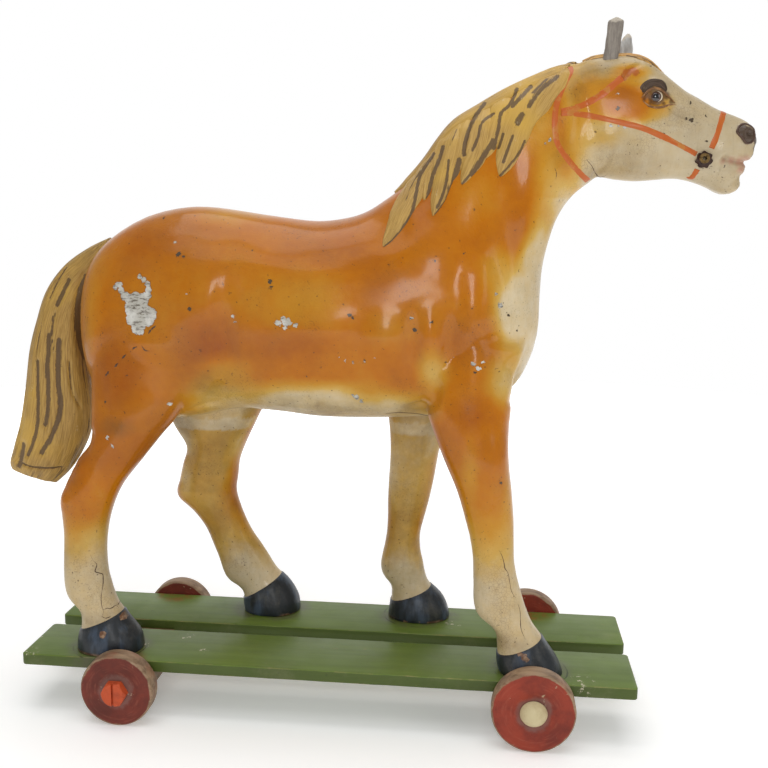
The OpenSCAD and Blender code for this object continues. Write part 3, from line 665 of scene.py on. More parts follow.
@dataclass(frozen=True)
class WheelPaint:
    """A turned wheel: painted faces round an axle, bare brown wood on the rim."""

    name: str
    x: float
    z: float
    radius: float
    face: Color = tint(158, 66, 46)
    dark: Color = tint(112, 46, 36)
    rim: Color = tint(166, 140, 112)
    rim_dark: Color = tint(112, 88, 66)

    def make(self) -> Finish:
        """Builds the wheel's face paint, rim grain and hub ring."""
        s = Shade(self.name)
        from_axle = s.vector("MULTIPLY", s.vector("SUBTRACT", s.coords, (self.x * MM, 0, self.z * MM)), (1, 0, 1))
        reach = s.vector("LENGTH", from_axle, out=1)
        wobble = s.sway(0.005, 60.0, 5.0, 0.65)
        grain = s.noise(1.0, 6.0, 0.65, vector=s.placed((26, 160, 200)))
        face = s.mix(s.patch(0.36, 0.68, 34.0, 6.0, 0.65), self.face, self.dark)
        turned = self.cylinder(s, from_axle, reach)
        rings = s.noise(1.0, 4.0, 0.65, vector=turned)
        face = s.mix(s.times(s.step(rings, 0.52, 0.7), 0.2), face, tint(176, 100, 78))
        face = s.mix(s.times(s.step(rings, 0.44, 0.3), 0.4), face, self.dark)
        face = s.mix(s.patch(0.67, 0.69, 150.0, 4.0, 0.7), face, self.rim)
        wood = s.mix(s.step(grain, 0.3, 0.7), self.rim, self.rim_dark)
        wood = s.mix(s.times(s.patch(0.48, 0.7, 45.0, 5.0), 0.5), wood, tint(150, 86, 66))
        onto_rim = s.step(s.plus(reach, wobble), (self.radius - 1.9) * MM, (self.radius - 1.0) * MM)
        colour = s.mix(onto_rim, face, wood)
        hub = s.step(s.plus(reach, s.sway(0.012, 60.0, 4.0, 0.65)), 0.0150, 0.0108)
        colour = s.mix(s.times(hub, 0.5), colour, tint(128, 106, 98))
        rough = s.plus(s.times(s.noise(70.0, 4.0), 0.25), 0.42)
        normal = s.bump(grain, 0.4, 0.0005)
        return s.finish(colour, rough, s.bump(s.noise(120.0, 4.0, 0.6), 0.25, 0.0005, normal))

    def cylinder(self, s: Shade, from_axle: Socket, reach: Socket) -> Socket:
        """Coordinates stretched round the axle: fine across the radius, long round it."""
        way = s.vector("NORMALIZE", from_axle)
        node = s.tree.nodes.new("ShaderNodeCombineXYZ")
        s.put(node.inputs[1], s.times(reach, 620.0))
        return s.vector("ADD", s.vector("MULTIPLY", way, (1.6, 0, 1.6)), node.outputs[0])


@dataclass(frozen=True)
class HardFinish:
    """Metal, plastic or glaze with stains and fine scratches."""

    name: str
    base: Color
    stain: Color
    rough: float = 0.35
    metal: float = 0.0
    coat: float = 0.0
    scale: float = 90.0
    share: float = 0.6

    def make(self) -> Finish:
        """Builds the finish."""
        s = Shade(self.name)
        mask = s.patch(0.42, 0.68, self.scale, 5.0, 0.65)
        colour = s.mix(s.times(mask, self.share), self.base, self.stain)
        chip = s.patch(0.68, 0.70, self.scale * 3, 4.0, 0.65)
        colour = s.mix(s.times(chip, 0.7), colour, self.stain)
        lines = s.noise(self.scale * 2.2, 3.0, 0.6, vector=s.placed((1, 1, 6), (0.2, 0.4, 0.1)))
        rough = s.plus(s.times(lines, 0.28), s.plus(s.times(mask, 0.15), self.rough - 0.14), clamp=True)
        normal = s.bump(lines, 0.25, 0.0003)
        return s.finish(
            colour, rough, s.bump(s.minus(1.0, chip), 0.4, 0.0002, normal), metal=self.metal, coat=self.coat,
            coat_rough=0.12
        )


@dataclass(frozen=True)
class EarPaint:
    """Grey paint brushed up the ear, worn pale and chipped at its top."""

    name: str
    base: Color
    stain: Color
    top: float

    def make(self) -> Finish:
        """Builds the ear's streaks, chips and pale worn top."""
        s = Shade(self.name)
        streak = s.noise(1.0, 5.0, 0.65, vector=s.placed((420, 420, 70)))
        colour = s.mix(s.step(streak, 0.36, 0.66), self.base, self.stain)
        ragged = s.sway(0.012, 190.0, 5.0, 0.7)
        worn = s.step(s.plus(s.axis("Z"), ragged), self.top, self.top + 0.002)
        colour = s.mix(s.times(worn, 0.8), colour, tint(196, 186, 170))
        foot = s.step(s.plus(s.axis("Z"), ragged), 0.484, 0.480)
        colour = s.mix(s.times(foot, 0.7), colour, tint(84, 72, 62))
        nicks = s.patch(0.66, 0.69, 300.0, 4.0, 0.65)
        colour = s.mix(s.times(nicks, 0.7), colour, tint(84, 76, 68))
        rough = s.plus(s.times(s.noise(120.0, 4.0), 0.3), 0.4)
        return s.finish(colour, rough, s.bump(streak, 0.5, 0.0005))


@dataclass(frozen=True)
class EyeGlass:
    """A dark glass eye with a painted ring, seen along y."""

    name: str
    centre: Point

    def make(self) -> Finish:
        """Builds pupil, iris and pale ring by distance from the eye's axis."""
        s = Shade(self.name)
        off = s.vector("MULTIPLY", s.vector("SUBTRACT", s.coords, tuple(c * MM for c in self.centre)), (1, 0, 1))
        reach = s.vector("LENGTH", off, out=1)
        reach = s.plus(reach, s.sway(0.0006, 300.0, 3.0))
        iris = s.mix(s.noise(260.0, 4.0), tint(84, 54, 38), tint(46, 32, 28))
        colour = s.mix(s.step(reach, 0.0019, 0.0023), tint(14, 12, 14), iris)
        colour = s.mix(s.step(reach, 0.0034, 0.0038), colour, tint(222, 208, 182))
        colour = s.mix(s.step(reach, 0.0047, 0.0051), colour, tint(62, 40, 28))
        rough = s.plus(s.times(s.noise(120.0, 3.0), 0.08), 0.04)
        return s.finish(colour, rough, s.bump(s.noise(90.0, 2.0), 0.05, 0.0003), coat=1.0, coat_rough=0.03)


@dataclass(frozen=True)
class StudioWhite:
    """The pale studio floor."""

    def make(self) -> Finish:
        """Builds a matt, near-white floor that fades to plain white at its rim."""
        s = Shade("studio_white")
        colour = s.mix(s.noise(3.0, 3.0), tint(253, 253, 252), tint(249, 249, 248))
        out = s.vector("LENGTH", s.coords, out=1)
        glow = s.plus(s.times(s.step(out, 0.35, 1.3), 0.75), 0.22)
        s.body.inputs["Emission Color"].default_value = (1, 1, 1, 1)
        s.put(s.body.inputs["Emission Strength"], glow)
        return s.finish(colour, 0.9, shine=0.0)


# --------------------------------------------------------------------------- mesh helpers


def easing(rows: tuple[Row, ...] | list[Row], count: int) -> list[tuple[float, ...]]:
    """Rows filled in by a smooth curve through them.

    Args:
        rows: the rows to pass through.
        count: steps between neighbouring rows.

    Returns:
        The denser rows, ending on the last one given.
    """
    grid = np.array(rows, float)
    out = []
    for i in range(len(grid) - 1):
        a, b, c, d = (grid[min(max(k, 0), len(grid) - 1)] for k in (i - 1, i, i + 1, i + 2))
        for j in range(count):
            t = j / count
            out.append(
                tuple(
                    0.5 * (2 * b + (c - a) * t + (2 * a - 5 * b + 4 * c - d) * t * t + (3 * b - a - 3 * c + d) * t**3)
                )
            )
    out.append(tuple(grid[-1]))
    return out


def loft(
    bm: Net, rows: list[tuple[float, ...]], segments: int, square: float = 2.2
) -> list[list[bmesh.types.BMVert]]:
    """Bridges rounded rings through the rows into one closed skin.

    Args:
        bm: the mesh to add to.
        rows: section rows in millimetres.
        segments: points round each ring.
        square: 2 for an ellipse, more for a squarer section.

    Returns:
        The rings' points, first row first.
    """
    rings: list[list[bmesh.types.BMVert]] = []
    for at, row in enumerate(rows):
        last = at in (0, len(rows) - 1)
        made = bmesh.ops.create_circle(bm, cap_ends=last, segments=segments, radius=1.0)["verts"]
        middle = Vector(((row[0] + row[2]) / 2, row[5], (row[1] + row[3]) / 2))
        up = Vector(((row[0] - row[2]) / 2, 0, (row[1] - row[3]) / 2))
        for v in made:
            c, n = v.co.y, v.co.x
            c = math.copysign(abs(c) ** (2 / square), c)
            n = math.copysign(abs(n) ** (2 / square), n)
            v.co = (middle + up * c + Vector((0, row[4] * n, 0))) * MM
        rings.append(made)
    for a, b in zip(rings, rings[1:]):
        edges = [
            e for ring in (a, b) for e in {e for v in ring for e in v.link_edges if e.other_vert(v) in set(ring)}
        ]
        bmesh.ops.bridge_loops(bm, edges=edges)
    return rings


def egg(bm: Net, at: Point, radii: Point) -> None:
    """Adds an ellipsoid, in millimetres."""
    shape = Matrix.Translation(Vector(at) * MM) @ Matrix.Diagonal((*[r * MM for r in radii], 1))
    bmesh.ops.create_uvsphere(bm, u_segments=28, v_segments=16, radius=1.0, matrix=shape)


def to_object(bm: Net, name: str, fix: bool = True) -> Piece:
    """Turns a bmesh into an object at the origin.

    Args:
        bm: the finished mesh, freed here.
        name: the piece's name.
        fix: turn its faces outwards.

    Returns:
        The linked object.
    """
    if fix:
        bmesh.ops.recalc_face_normals(bm, faces=bm.faces[:])
    for face in bm.faces:
        face.smooth = True
    mesh = bpy.data.meshes.new(name)
    bm.to_mesh(mesh)
    bm.free()
    obj = bpy.data.objects.new(name, mesh)
    bpy.context.scene.collection.objects.link(obj)
    return obj


def bake_modifiers(obj: Piece) -> None:
    """Replaces an object's mesh with its modified one and clears the modifiers."""
    deps = bpy.context.evaluated_depsgraph_get()
    mesh = bpy.data.meshes.new_from_object(obj.evaluated_get(deps))
    old = obj.data
    obj.modifiers.clear()
    obj.data = mesh
    mesh.name = obj.name
    bpy.data.meshes.remove(old)


def corners(mesh: Mesh) -> np.ndarray:
    """The mesh's points as an array in metres."""
    co = np.empty(len(mesh.vertices) * 3)
    mesh.vertices.foreach_get("co", co)
    return co.reshape(-1, 3)


def put_corners(mesh: Mesh, co: np.ndarray) -> None:
    """Writes the mesh's points back."""
    mesh.vertices.foreach_set("co", co.ravel())
    mesh.update()


def outward(mesh: Mesh) -> np.ndarray:
    """The mesh's point normals as an array."""
    normals = np.empty(len(mesh.vertices) * 3)
    mesh.vertex_normals.foreach_get("vector", normals)
    return normals.reshape(-1, 3)


def relax(mesh: Mesh, rounds: int, grip: np.ndarray | float = 1.0) -> None:
    """Evens out a mesh without shrinking it: each round smooths, then swells back.

    Args:
        mesh: the mesh to smooth.
        rounds: how many pairs of passes.
        grip: share of the smoothing each point takes.
    """
    co = corners(mesh)
    pairs = np.empty(len(mesh.edges) * 2, int)
    mesh.edges.foreach_get("vertices", pairs)
    a, b = pairs.reshape(-1, 2).T
    count = np.bincount(a, minlength=len(co)) + np.bincount(b, minlength=len(co))
    share = np.asarray(grip).reshape(-1, 1) if isinstance(grip, np.ndarray) else grip
    for _ in range(rounds):
        for pull in (0.60, -0.62):
            total = np.stack(
                [np.bincount(a, co[b, k], len(co)) + np.bincount(b, co[a, k], len(co)) for k in range(3)], 1
            )
            co = co + pull * share * (total / count[:, None] - co)
    put_corners(mesh, co)


def mark(mesh: Mesh, name: str, values: np.ndarray) -> None:
    """Stores one number a point on the mesh."""
    layer = mesh.attributes.new(name, "FLOAT", "POINT")
    layer.data.foreach_set("value", np.clip(values, 0, 1).astype(np.float32))


def mark_flow(mesh: Mesh, values: np.ndarray) -> None:
    """Stores the hair's run, width and seed on each point, for strokes that follow it."""
    layer = mesh.attributes.new("flow", "FLOAT_VECTOR", "POINT")
    layer.data.foreach_set("vector", values.astype(np.float32).ravel())


def dress(obj: Piece, material: Finish, nodes: tuple[str, ...] = (), body: str = HORSE) -> Piece:
    """Gives a piece its material and says what it stands for.

    Args:
        obj: the piece.
        material: its finish.
        nodes: CAD nodes it replaces.
        body: the body it rides on.

    Returns:
        The same piece.
    """
    obj.data.materials.clear()
    obj.data.materials.append(material)
    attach(obj, body)
    if nodes:
        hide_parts(*nodes)
    LOG.info("%s: %d faces", obj.name, len(obj.data.polygons))
    return obj


def redress(node: str, material: Finish) -> None:
    """Gives a CAD node a better material."""
    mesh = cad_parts[node].data
    mesh.materials.clear()
    mesh.materials.append(material)
    LOG.info("%s: CAD node refinished", node)


def between(values: np.ndarray, start: float, end: float) -> np.ndarray:
    """0 at start, 1 at end, straight between and level beyond."""
    return np.clip((values - start) / (end - start), 0, 1)


def fade(d2: np.ndarray) -> np.ndarray:
    """A soft brush: 1 at the middle, 0 from a squared distance of 1."""
    return np.clip(1 - d2, 0, 1) ** 2


@dataclass(frozen=True)
class Swell:
    """A soft push or dent in the skin, in millimetres."""

    at: Point
    reach: Point
    push: float
    side: Side = Side.BOTH

    def depth(self, co: np.ndarray) -> np.ndarray:
        """How far each point moves along its normal, in millimetres."""
        y = co[:, 1] if self.side is not Side.BOTH else np.abs(co[:, 1])
        middle = self.at[1] * (self.side.value if self.side is not Side.BOTH else 1)
        d2 = ((co[:, 0] - self.at[0]) / self.reach[0]) ** 2 + ((y - middle) / self.reach[1]) ** 2
        return self.push * fade(d2 + ((co[:, 2] - self.at[2]) / self.reach[2]) ** 2)


@dataclass(frozen=True)
class Crease:
    """A groove or ridge along a line seen from the side, in millimetres."""

    line: Line
    width: float
    push: float
    side: Side = Side.BOTH
    near_y: float = 0.0

    def depth(self, co: np.ndarray) -> np.ndarray:
        """How far each point moves along its normal, in millimetres."""
        best = np.full(len(co), 1e9)
        for (ax, az), (bx, bz) in zip(self.line, self.line[1:]):
            run = np.array([bx - ax, bz - az])
            t = np.clip(((co[:, 0] - ax) * run[0] + (co[:, 2] - az) * run[1]) / (run @ run), 0, 1)
            gap = (co[:, 0] - ax - t * run[0]) ** 2 + (co[:, 2] - az - t * run[1]) ** 2
            best = np.minimum(best, gap)
        on = np.abs(co[:, 1]) > self.near_y if self.side is Side.BOTH else co[:, 1] * self.side.value > self.near_y
        return self.push * fade(best / self.width**2) * on


@dataclass(frozen=True)
class Dab:
    """One soft stroke of the airbrush, seen from the side, in millimetres."""

    x: float
    z: float
    wide: float
    tall: float
    tone: float
    strength: float = 1.0
    side: Side = Side.BOTH

    def lay(self, co: np.ndarray, tone: np.ndarray) -> np.ndarray:
        """The tones after this stroke."""
        share = fade(((co[:, 0] - self.x) / self.wide) ** 2 + ((co[:, 2] - self.z) / self.tall) ** 2)
        share = np.minimum(share * self.strength, 1)
        if self.side is not Side.BOTH:
            share = share * (co[:, 1] * self.side.value > 0)
        return tone + (self.tone - tone) * share


@dataclass(frozen=True)
class Stroke:
    """A painted brush stroke along a line seen from the side, in millimetres."""

    wide: float
    line: Line
    share: float = 1.0

    def ink(self, co: np.ndarray) -> np.ndarray:
        """How deep in the stroke each point is: 1 on its line, 0 one width away."""
        curve = easing([(x, z, 0, 0, 0, 0) for x, z in self.line], 4)
        gap = Crease(tuple((p[0], p[1]) for p in curve), self.wide, 1.0).depth(co * (1, 0, 1) + (0, 1, 0))
        return (1 - np.sqrt(1 - np.sqrt(gap))) * self.share


# --------------------------------------------------------------------------- the horse


@dataclass
class Horse:
    """The moulded body: torso, neck, head and legs as one smooth skin, cut at the throat seam."""

    grain: float = 2.3
    coat_tone: float = 0.78
    swells: tuple[Swell, ...] = (
        Swell((-102, 46, 322), (30, 40, 42), 3.4), Swell((-143, 50, 293), (40, 40, 46), 2.6),
        Swell((-88, 55, 290), (13, 40, 52), -3.6), Swell((-76, 55, 262), (22, 40, 26), -2.2),
        Swell((-105, 22, 374), (44, 26, 16), 1.6), Swell((-20, 56, 298), (34, 40, 26), 2.2),
        Swell((26, 56, 292), (19, 40, 24), 3), Swell((45, 56, 284), (10, 40, 34), -3.4),
        Swell((58, 54, 289), (11, 40, 30), 3.2), Swell((72, 54, 286), (8, 40, 30), -2.6),
        Swell((87, 46, 292), (15, 40, 40), 3.6), Swell((92, 44, 262), (20, 40, 18), 1.8),
        Swell((103, 34, 330), (12, 34, 34), -2.6), Swell((118, 24, 300), (14, 22, 36), 2.4),
        Swell((122, 0, 288), (22, 9, 40), -3), Swell((86, 34, 395), (24, 30, 30), 1.4),
        Swell((112, 30, 396), (14, 30, 34), -1), Swell((128, 24, 400), (16, 24, 30), 0.8),
        Swell((60, 44, 350), (30, 40, 26), 1.6), Swell((30, 34, 362), (26, 34, 18), -1.8),
        Swell((-60, 34, 355), (34, 34, 18), -1.4), Swell((-30, 52, 330), (40, 40, 20), 1.2),
        Swell((-172, 30, 250), (26, 34, 30), 1.4), Swell((-150, 44, 232), (22, 34, 20), 1.6),
        Swell((100, 56, 205), (20, 30, 26), 1.6, Side.RIGHT), Swell((96, 56, 138), (14, 30, 14), 0.8, Side.RIGHT),
        Swell((-214, 44, 162), (8, 24, 12), 1.8, Side.RIGHT), Swell((-196, 62, 140), (10, 14, 22), -1, Side.RIGHT),
        Swell((-192, 54, 232), (16, 26, 38), 5, Side.RIGHT), Swell((-204, 54, 198), (13, 24, 20), 4, Side.RIGHT),
        Swell((-150, 46, 148), (10, 24, 12), 1.6, Side.LEFT), Swell((176, 24, 424), (24, 24, 24), 2),
        Swell((158, 24, 430), (9, 26, 40), -2.4), Swell((207, 22, 436), (24, 16, 9), 1.3),
        Swell((222, 16, 443), (16, 14, 9), -1.8), Swell((196, 24, 466), (10, 12, 7), -1.6),
        Swell((207, 20, 466), (10, 12, 5), 1.6), Swell((240, 0, 456), (30, 7, 12), 1.2),
        Swell((236, 16, 428), (22, 12, 9), -1), Swell((262, 14, 424), (14, 12, 16), 1.2),
    )
    fine: tuple[Swell, ...] = (
        Swell((272.5, 14, 433.5), (8.5, 12, 7.5), 1.7), Swell((274, 15, 433), (4.4, 10, 3.2), -3.6),
        Swell((208.5, 23, 456.5), (9.5, 12, 6.6), -2.4), Swell((262, 8, 396), (12, 12, 7), 1.4),
        Swell((276, 6, 420), (8, 9, 5), 1.2), Swell((248, 18, 410), (9, 12, 6), -0.8),
    )
    creases: tuple[Crease, ...] = (
        Crease(((290, 412), (276, 413.5), (266, 414), (257, 416)), 2.6, -2.8),
        Crease(((284, 408), (272, 408), (262, 410)), 3.4, 0.9), Crease(((258, 418), (255, 414), (254, 409)), 2.4, -1),
        Crease(((231, 443), (224, 446), (217, 450)), 2.2, -0.9, near_y=6),
        Crease(((214, 427), (228, 424), (238, 418)), 3, 0.7, near_y=6),
        Crease(((170, 405), (177, 412), (180, 424)), 3.2, -1.1, near_y=6),
        Crease(((186, 470), (190, 476), (196, 479)), 2.6, -1, near_y=4),
    )
    body_creases: tuple[Crease, ...] = (
        Crease(((44, 236), (54, 240), (60, 246), (63, 256)), 7, -3, near_y=34),
        Crease(((118, 246), (120, 258), (116, 270)), 7, -2, near_y=14),
        Crease(((-118, 228), (-104, 236), (-96, 250)), 8, -2.4, near_y=30),
        Crease(((-206, 190), (-198, 200), (-190, 214)), 6, -1.4, near_y=18),
        Crease(((112, 86), (118, 78)), 5, -1, Side.RIGHT), Crease(((-204, 84), (-198, 78)), 5, -1, Side.RIGHT),
    )
    dabs: tuple[Dab, ...] = (
        Dab(-189, 300, 15, 60, 0.62), Dab(-168, 262, 34, 46, 0.98, 1.2), Dab(-121, 318, 40, 30, 0.74, 0.8),
        Dab(-100, 285, 34, 34, 1, 1), Dab(-91, 376, 44, 13, 0.54, 0.9), Dab(-150, 350, 34, 24, 0.88, 0.8),
        Dab(-34, 318, 60, 34, 0.56, 1), Dab(-42, 284, 50, 18, 0.90, 1), Dab(30, 330, 50, 34, 0.80, 0.7),
        Dab(-30, 236, 84, 28, 0.04, 1.5), Dab(14, 240, 60, 24, 0.06, 1.2), Dab(14, 254, 24, 18, 0.66, 0.7),
        Dab(-96, 240, 40, 28, 0.22, 1.2), Dab(-90, 262, 30, 20, 0.42, 0.8), Dab(36, 262, 20, 22, 0.84, 0.8),
        Dab(60, 268, 16, 24, 0.30, 1), Dab(112, 262, 20, 28, 0.20, 1), Dab(128, 262, 14, 70, 0.05, 1.3),
        Dab(118, 312, 24, 44, 0.05, 1.6), Dab(130, 345, 17, 46, 0.10, 1.4), Dab(104, 338, 18, 24, 0.36, 0.8),
        Dab(84, 292, 28, 28, 0.92, 0.8), Dab(90, 238, 26, 20, 0.94, 1), Dab(60, 350, 34, 34, 0.76, 0.8),
        Dab(86, 390, 36, 36, 0.60, 0.9), Dab(118, 372, 18, 26, 0.86, 0.9), Dab(138, 405, 18, 40, 0.40, 1),
        Dab(150, 390, 20, 22, 0.14, 1), Dab(120, 430, 16, 22, 0.56, 0.8), Dab(-6, 378, 60, 10, 0.90, 0.6),
        Dab(130, 440, 16, 30, 0.44, 1), Dab(30, 300, 24, 24, 0.62, 0.7), Dab(-10, 350, 40, 16, 0.84, 0.7),
    )
    # Fore 1 or hind -1, side, heights, and the tone at each height.
    legs: tuple[tuple[int, int, tuple[float, ...], tuple[float, ...]], ...] = (
        (1, -1, (45, 116, 136, 158, 176, 210, 236), (0.03, 0.05, 0.22, 0.52, 0.72, 0.84, 0.90)),
        (1, 1, (45, 84, 104, 130, 160, 200, 236), (0.05, 0.08, 0.36, 0.56, 0.48, 0.56, 0.70)),
        (-1, -1, (45, 110, 132, 152, 170, 200, 236), (0.03, 0.05, 0.26, 0.60, 0.80, 0.90, 0.92)),
        # The far hind leg is sprayed deep through its middle: partly its own orange, partly painted shade.
        (-1, 1, (45, 88, 108, 138, 168, 200, 236), (0.05, 0.10, 0.40, 0.76, 0.90, 0.90, 0.80)),
    )
    leg_dabs: tuple[Dab, ...] = (
        Dab(78, 258, 26, 20, 0.16, 0.8, Side.RIGHT), Dab(88, 205, 9, 46, 0.52, 0.7, Side.RIGHT),
        Dab(116, 176, 7, 40, 0.46, 0.6, Side.RIGHT), Dab(-186, 172, 9, 24, 0.60, 0.4, Side.RIGHT),
        Dab(-146, 196, 14, 22, 0.30, 0.9, Side.LEFT), Dab(-148, 160, 12, 20, 0.30, 0.8, Side.LEFT),
        Dab(-100, 176, 10, 40, 0.20, 0.6, Side.LEFT), Dab(60, 206, 14, 36, 0.16, 0.7, Side.LEFT),
        Dab(24, 170, 9, 44, 0.14, 0.8, Side.LEFT), Dab(-196, 160, 24, 22, 0.80, 1.1, Side.RIGHT),
        # Deepens the far hind leg: partly its own orange, partly painted shade.
        Dab(-118, 166, 14, 34, 0.84, 1.1, Side.LEFT),
    )
    head_dabs: tuple[Dab, ...] = (
        Dab(200, 440, 200, 200, 0.05, 9), Dab(182, 456, 34, 22, 0.84, 1.2), Dab(160, 458, 24, 28, 0.56, 1.2),
        Dab(196, 450, 26, 15, 0.78, 1.1), Dab(190, 474, 20, 9, 0.66, 1), Dab(150, 430, 20, 34, 0.50, 1),
        Dab(212, 452, 13, 11, 0.44, 0.8), Dab(150, 474, 20, 12, 0.34, 1), Dab(160, 480, 14, 8, 0.20, 1),
        Dab(172, 430, 24, 12, 0.30, 0.8), Dab(210, 446, 14, 6, 0.34, 0.6),
    )
    # Real stains, and painted shade: under the belly, on the far legs, beside the tail and on the cheek.
    stains_and_shade: tuple[Dab, ...] = (
        Dab(-101, 254, 34, 18, 0.6), Dab(-169, 222, 20, 10, 0.8), Dab(-30, 228, 100, 28, 0.8),
        Dab(44, 236, 26, 9, 0.8), Dab(-190, 110, 40, 50, 0.34), Dab(112, 110, 40, 46, 0.32),
        Dab(-110, 120, 50, 70, 0.62, 1, Side.LEFT), Dab(36, 120, 44, 90, 0.62, 1, Side.LEFT),
        Dab(-142, 200, 24, 40, 0.75, 1, Side.LEFT), Dab(24, 200, 20, 40, 0.65, 1, Side.LEFT),
        Dab(166, 474, 22, 14, 0.75), Dab(224, 446, 12, 10, 0.5), Dab(262, 440, 16, 10, 0.34),
        Dab(155, 462, 12, 18, 0.5), Dab(168, 406, 14, 9, 0.75), Dab(144, 420, 14, 22, 0.35),
        Dab(-60, 300, 200, 90, 0.08), Dab(-198, 270, 12, 80, 0.6), Dab(184, 456, 18, 12, 0.36),
        Dab(112, 70, 40, 14, 0.6), Dab(-190, 70, 40, 14, 0.6), Dab(270, 412, 20, 12, 0.40),
        Dab(196, 412, 50, 18, 0.42), Dab(212, 466, 16, 10, 0.35), Dab(240, 430, 60, 40, 0.20),
        Dab(106, 268, 20, 30, 0.25), Dab(-206, 200, 14, 40, 0.4), Dab(-216, 120, 10, 40, 0.4, 1, Side.RIGHT),
    )

    def build(self) -> Piece:
        """The whole smooth skin, before it is cut and painted."""
        bm = bmesh.new()
        loft(bm, easing([(*r[:4], r[4] * HALF_BODY, r[5]) for r in TORSO], 3), 48)
        loft(bm, easing([(*r[:4], r[4] * HALF_HEAD, r[5]) for r in HEAD], 3), 40, 2.3)
        for rows in (FORE_RIGHT, HIND_RIGHT, HIND_LEFT, FORE_LEFT):
            loft(bm, easing([(*r[:5], r[5] * STANCE) for r in rows], 3), 32, 2.15)
        for side in (-1, 1):
            for at, radii in (
                ((84, 36, 318), (26, 17, 40)), ((92, 34, 268), (26, 20, 30)), ((112, 17, 284), (15, 14, 26)),
                ((-146, 31, 316), (44, 27, 38)), ((-140, 32, 284), (46, 28, 34)), ((-16, 30, 290), (60, 28, 48)),
                ((196, 11.5, 424), (15, 12.5, 20)), ((208, 11, 440), (16, 13, 16)), ((262, 4, 400), (10, 7, 7)),
                ((267, 7, 431), (12, 8.5, 11)), ((206, 13.5, 465), (12, 9, 6)),
            ):
                egg(bm, (at[0], at[1] * side, at[2]), radii)
        skin = to_object(bm, "horse_skin")
        melt = skin.modifiers.new("melt", "REMESH")
        melt.mode = "VOXEL"
        melt.voxel_size = self.grain * MM
        melt.use_smooth_shade = True
        bake_modifiers(skin)
        co = corners(skin.data) / MM
        low = np.clip((co[:, 2] - 66) / 20, 0.15, 1)
        face = between(co[:, 0], 235, 265)
        relax(skin.data, 26, low * (1 - 0.6 * face))
        self.press(skin.data, self.swells, self.body_creases)
        relax(skin.data, 3, 0.8)
        return skin

    def press(self, mesh: Mesh, swells: tuple[Swell, ...], creases: tuple[Crease, ...]) -> None:
        """Pushes the skin in and out along its normals."""
        co = corners(mesh)
        mm = co / MM
        normals = outward(mesh)
        push = sum((brush.depth(mm) for brush in (*swells, *creases)), np.zeros(len(mm)))
        put_corners(mesh, co + normals * push[:, None] * MM)

    def cut(self, skin: Piece, name: str, keep_head: bool) -> Piece:
        """One side of the throat seam as its own piece.

        Args:
            skin: the whole skin.
            name: the piece's name.
            keep_head: keep the head, subdivided for its fine shapes, or the body.

        Returns:
            The new object.
        """
        bm = bmesh.new()
        bm.from_mesh(skin.data)
        seam, across = Vector((154.5, 0, 446)) * MM, Vector((0.985, 0, 0.17))
        if keep_head:
            rough = [f for f in bm.faces if (f.calc_center_median() - seam).dot(across) > -0.008]
            bmesh.ops.delete(bm, geom=[f for f in bm.faces if f not in set(rough)], context="FACES")
            bmesh.ops.subdivide_edges(bm, edges=bm.edges[:], cuts=1, use_grid_fill=True)
            bmesh.ops.smooth_vert(
                bm, verts=[v for v in bm.verts if not v.is_boundary], factor=0.5, use_axis_x=True, use_axis_y=True,
                use_axis_z=True
            )
        geom = bm.verts[:] + bm.edges[:] + bm.faces[:]
        bmesh.ops.bisect_plane(
            bm, geom=geom, dist=1e-6, plane_co=seam, plane_no=across, clear_inner=keep_head, clear_outer=not keep_head
        )
        return to_object(bm, name, fix=False)

    def paint(self, mesh: Mesh) -> None:
        """Lays the airbrush tones, and the dirt with its painted shade, on the mesh's points."""
        co = corners(mesh) / MM
        x, out, z = co[:, 0], np.abs(co[:, 1]), co[:, 2]
        tone = np.full(len(co), self.coat_tone)
        for dab in self.dabs:
            tone = dab.lay(co, tone)
        on_leg = (between(z, 232, 198) * (out > 6)) ** 0.6
        tone = tone + (self.leg_tones(co) - tone) * on_leg
        under = between(out, 40, 18) * between(z, 250, 236) * (z > 205)
        inner = between(out, 38, 28) * (z < 215)
        tone = tone * (1 - 0.8 * under) * (1 - 0.6 * inner)
        past_seam = between(x - (440 - z) * 0.16, 144, 156) * np.maximum(between(z, 392, 398), x > 196)
        for dab in self.head_dabs:
            tone = tone + (dab.lay(co, tone) - tone) * past_seam
        chest = between(out, 30, 8) * between(x, 104, 118) * (z > 236) * (z < 388)
        mark(mesh, "tone", tone * (1 - 0.85 * chest))
        # The grime marks hold the dirt and the painted shade together.
        mark(mesh, "grime_and_shade", self.dirt_and_shade(co))

    def leg_tones(self, co: np.ndarray) -> np.ndarray:
        """Each leg's tones by height, with its own strokes."""
        legs = np.zeros(len(co))
        wavy = co[:, 2] + 5 * np.sin(co[:, 0] / 7)
        for fore, side, heights, tones in self.legs:
            here = (co[:, 0] * fore > -20 * (fore < 0)) & (co[:, 1] * side > 0)
            legs = np.where(here, np.interp(wavy, heights, tones), legs)
        for dab in self.leg_dabs:
            legs = dab.lay(co, legs)
        return legs

    def dirt_and_shade(self, co: np.ndarray) -> np.ndarray:
        """How dark each point is marked: real stains, and painted shade under the belly, on the far legs, beside the
        tail, on the cheek and in the folds between the legs.
        """
        grime_and_shade = np.zeros(len(co))
        for dab in self.stains_and_shade:
            grime_and_shade = np.maximum(grime_and_shade, dab.lay(co, np.zeros(len(co))))
        # Painted shade in the folds where the legs meet the belly.
        fold_shade = fade(((np.abs(co[:, 1]) - 22) / 16) ** 2) * between(co[:, 2], 240, 220) * (co[:, 2] > 150)
        return np.maximum(grime_and_shade, fold_shade * 0.6)


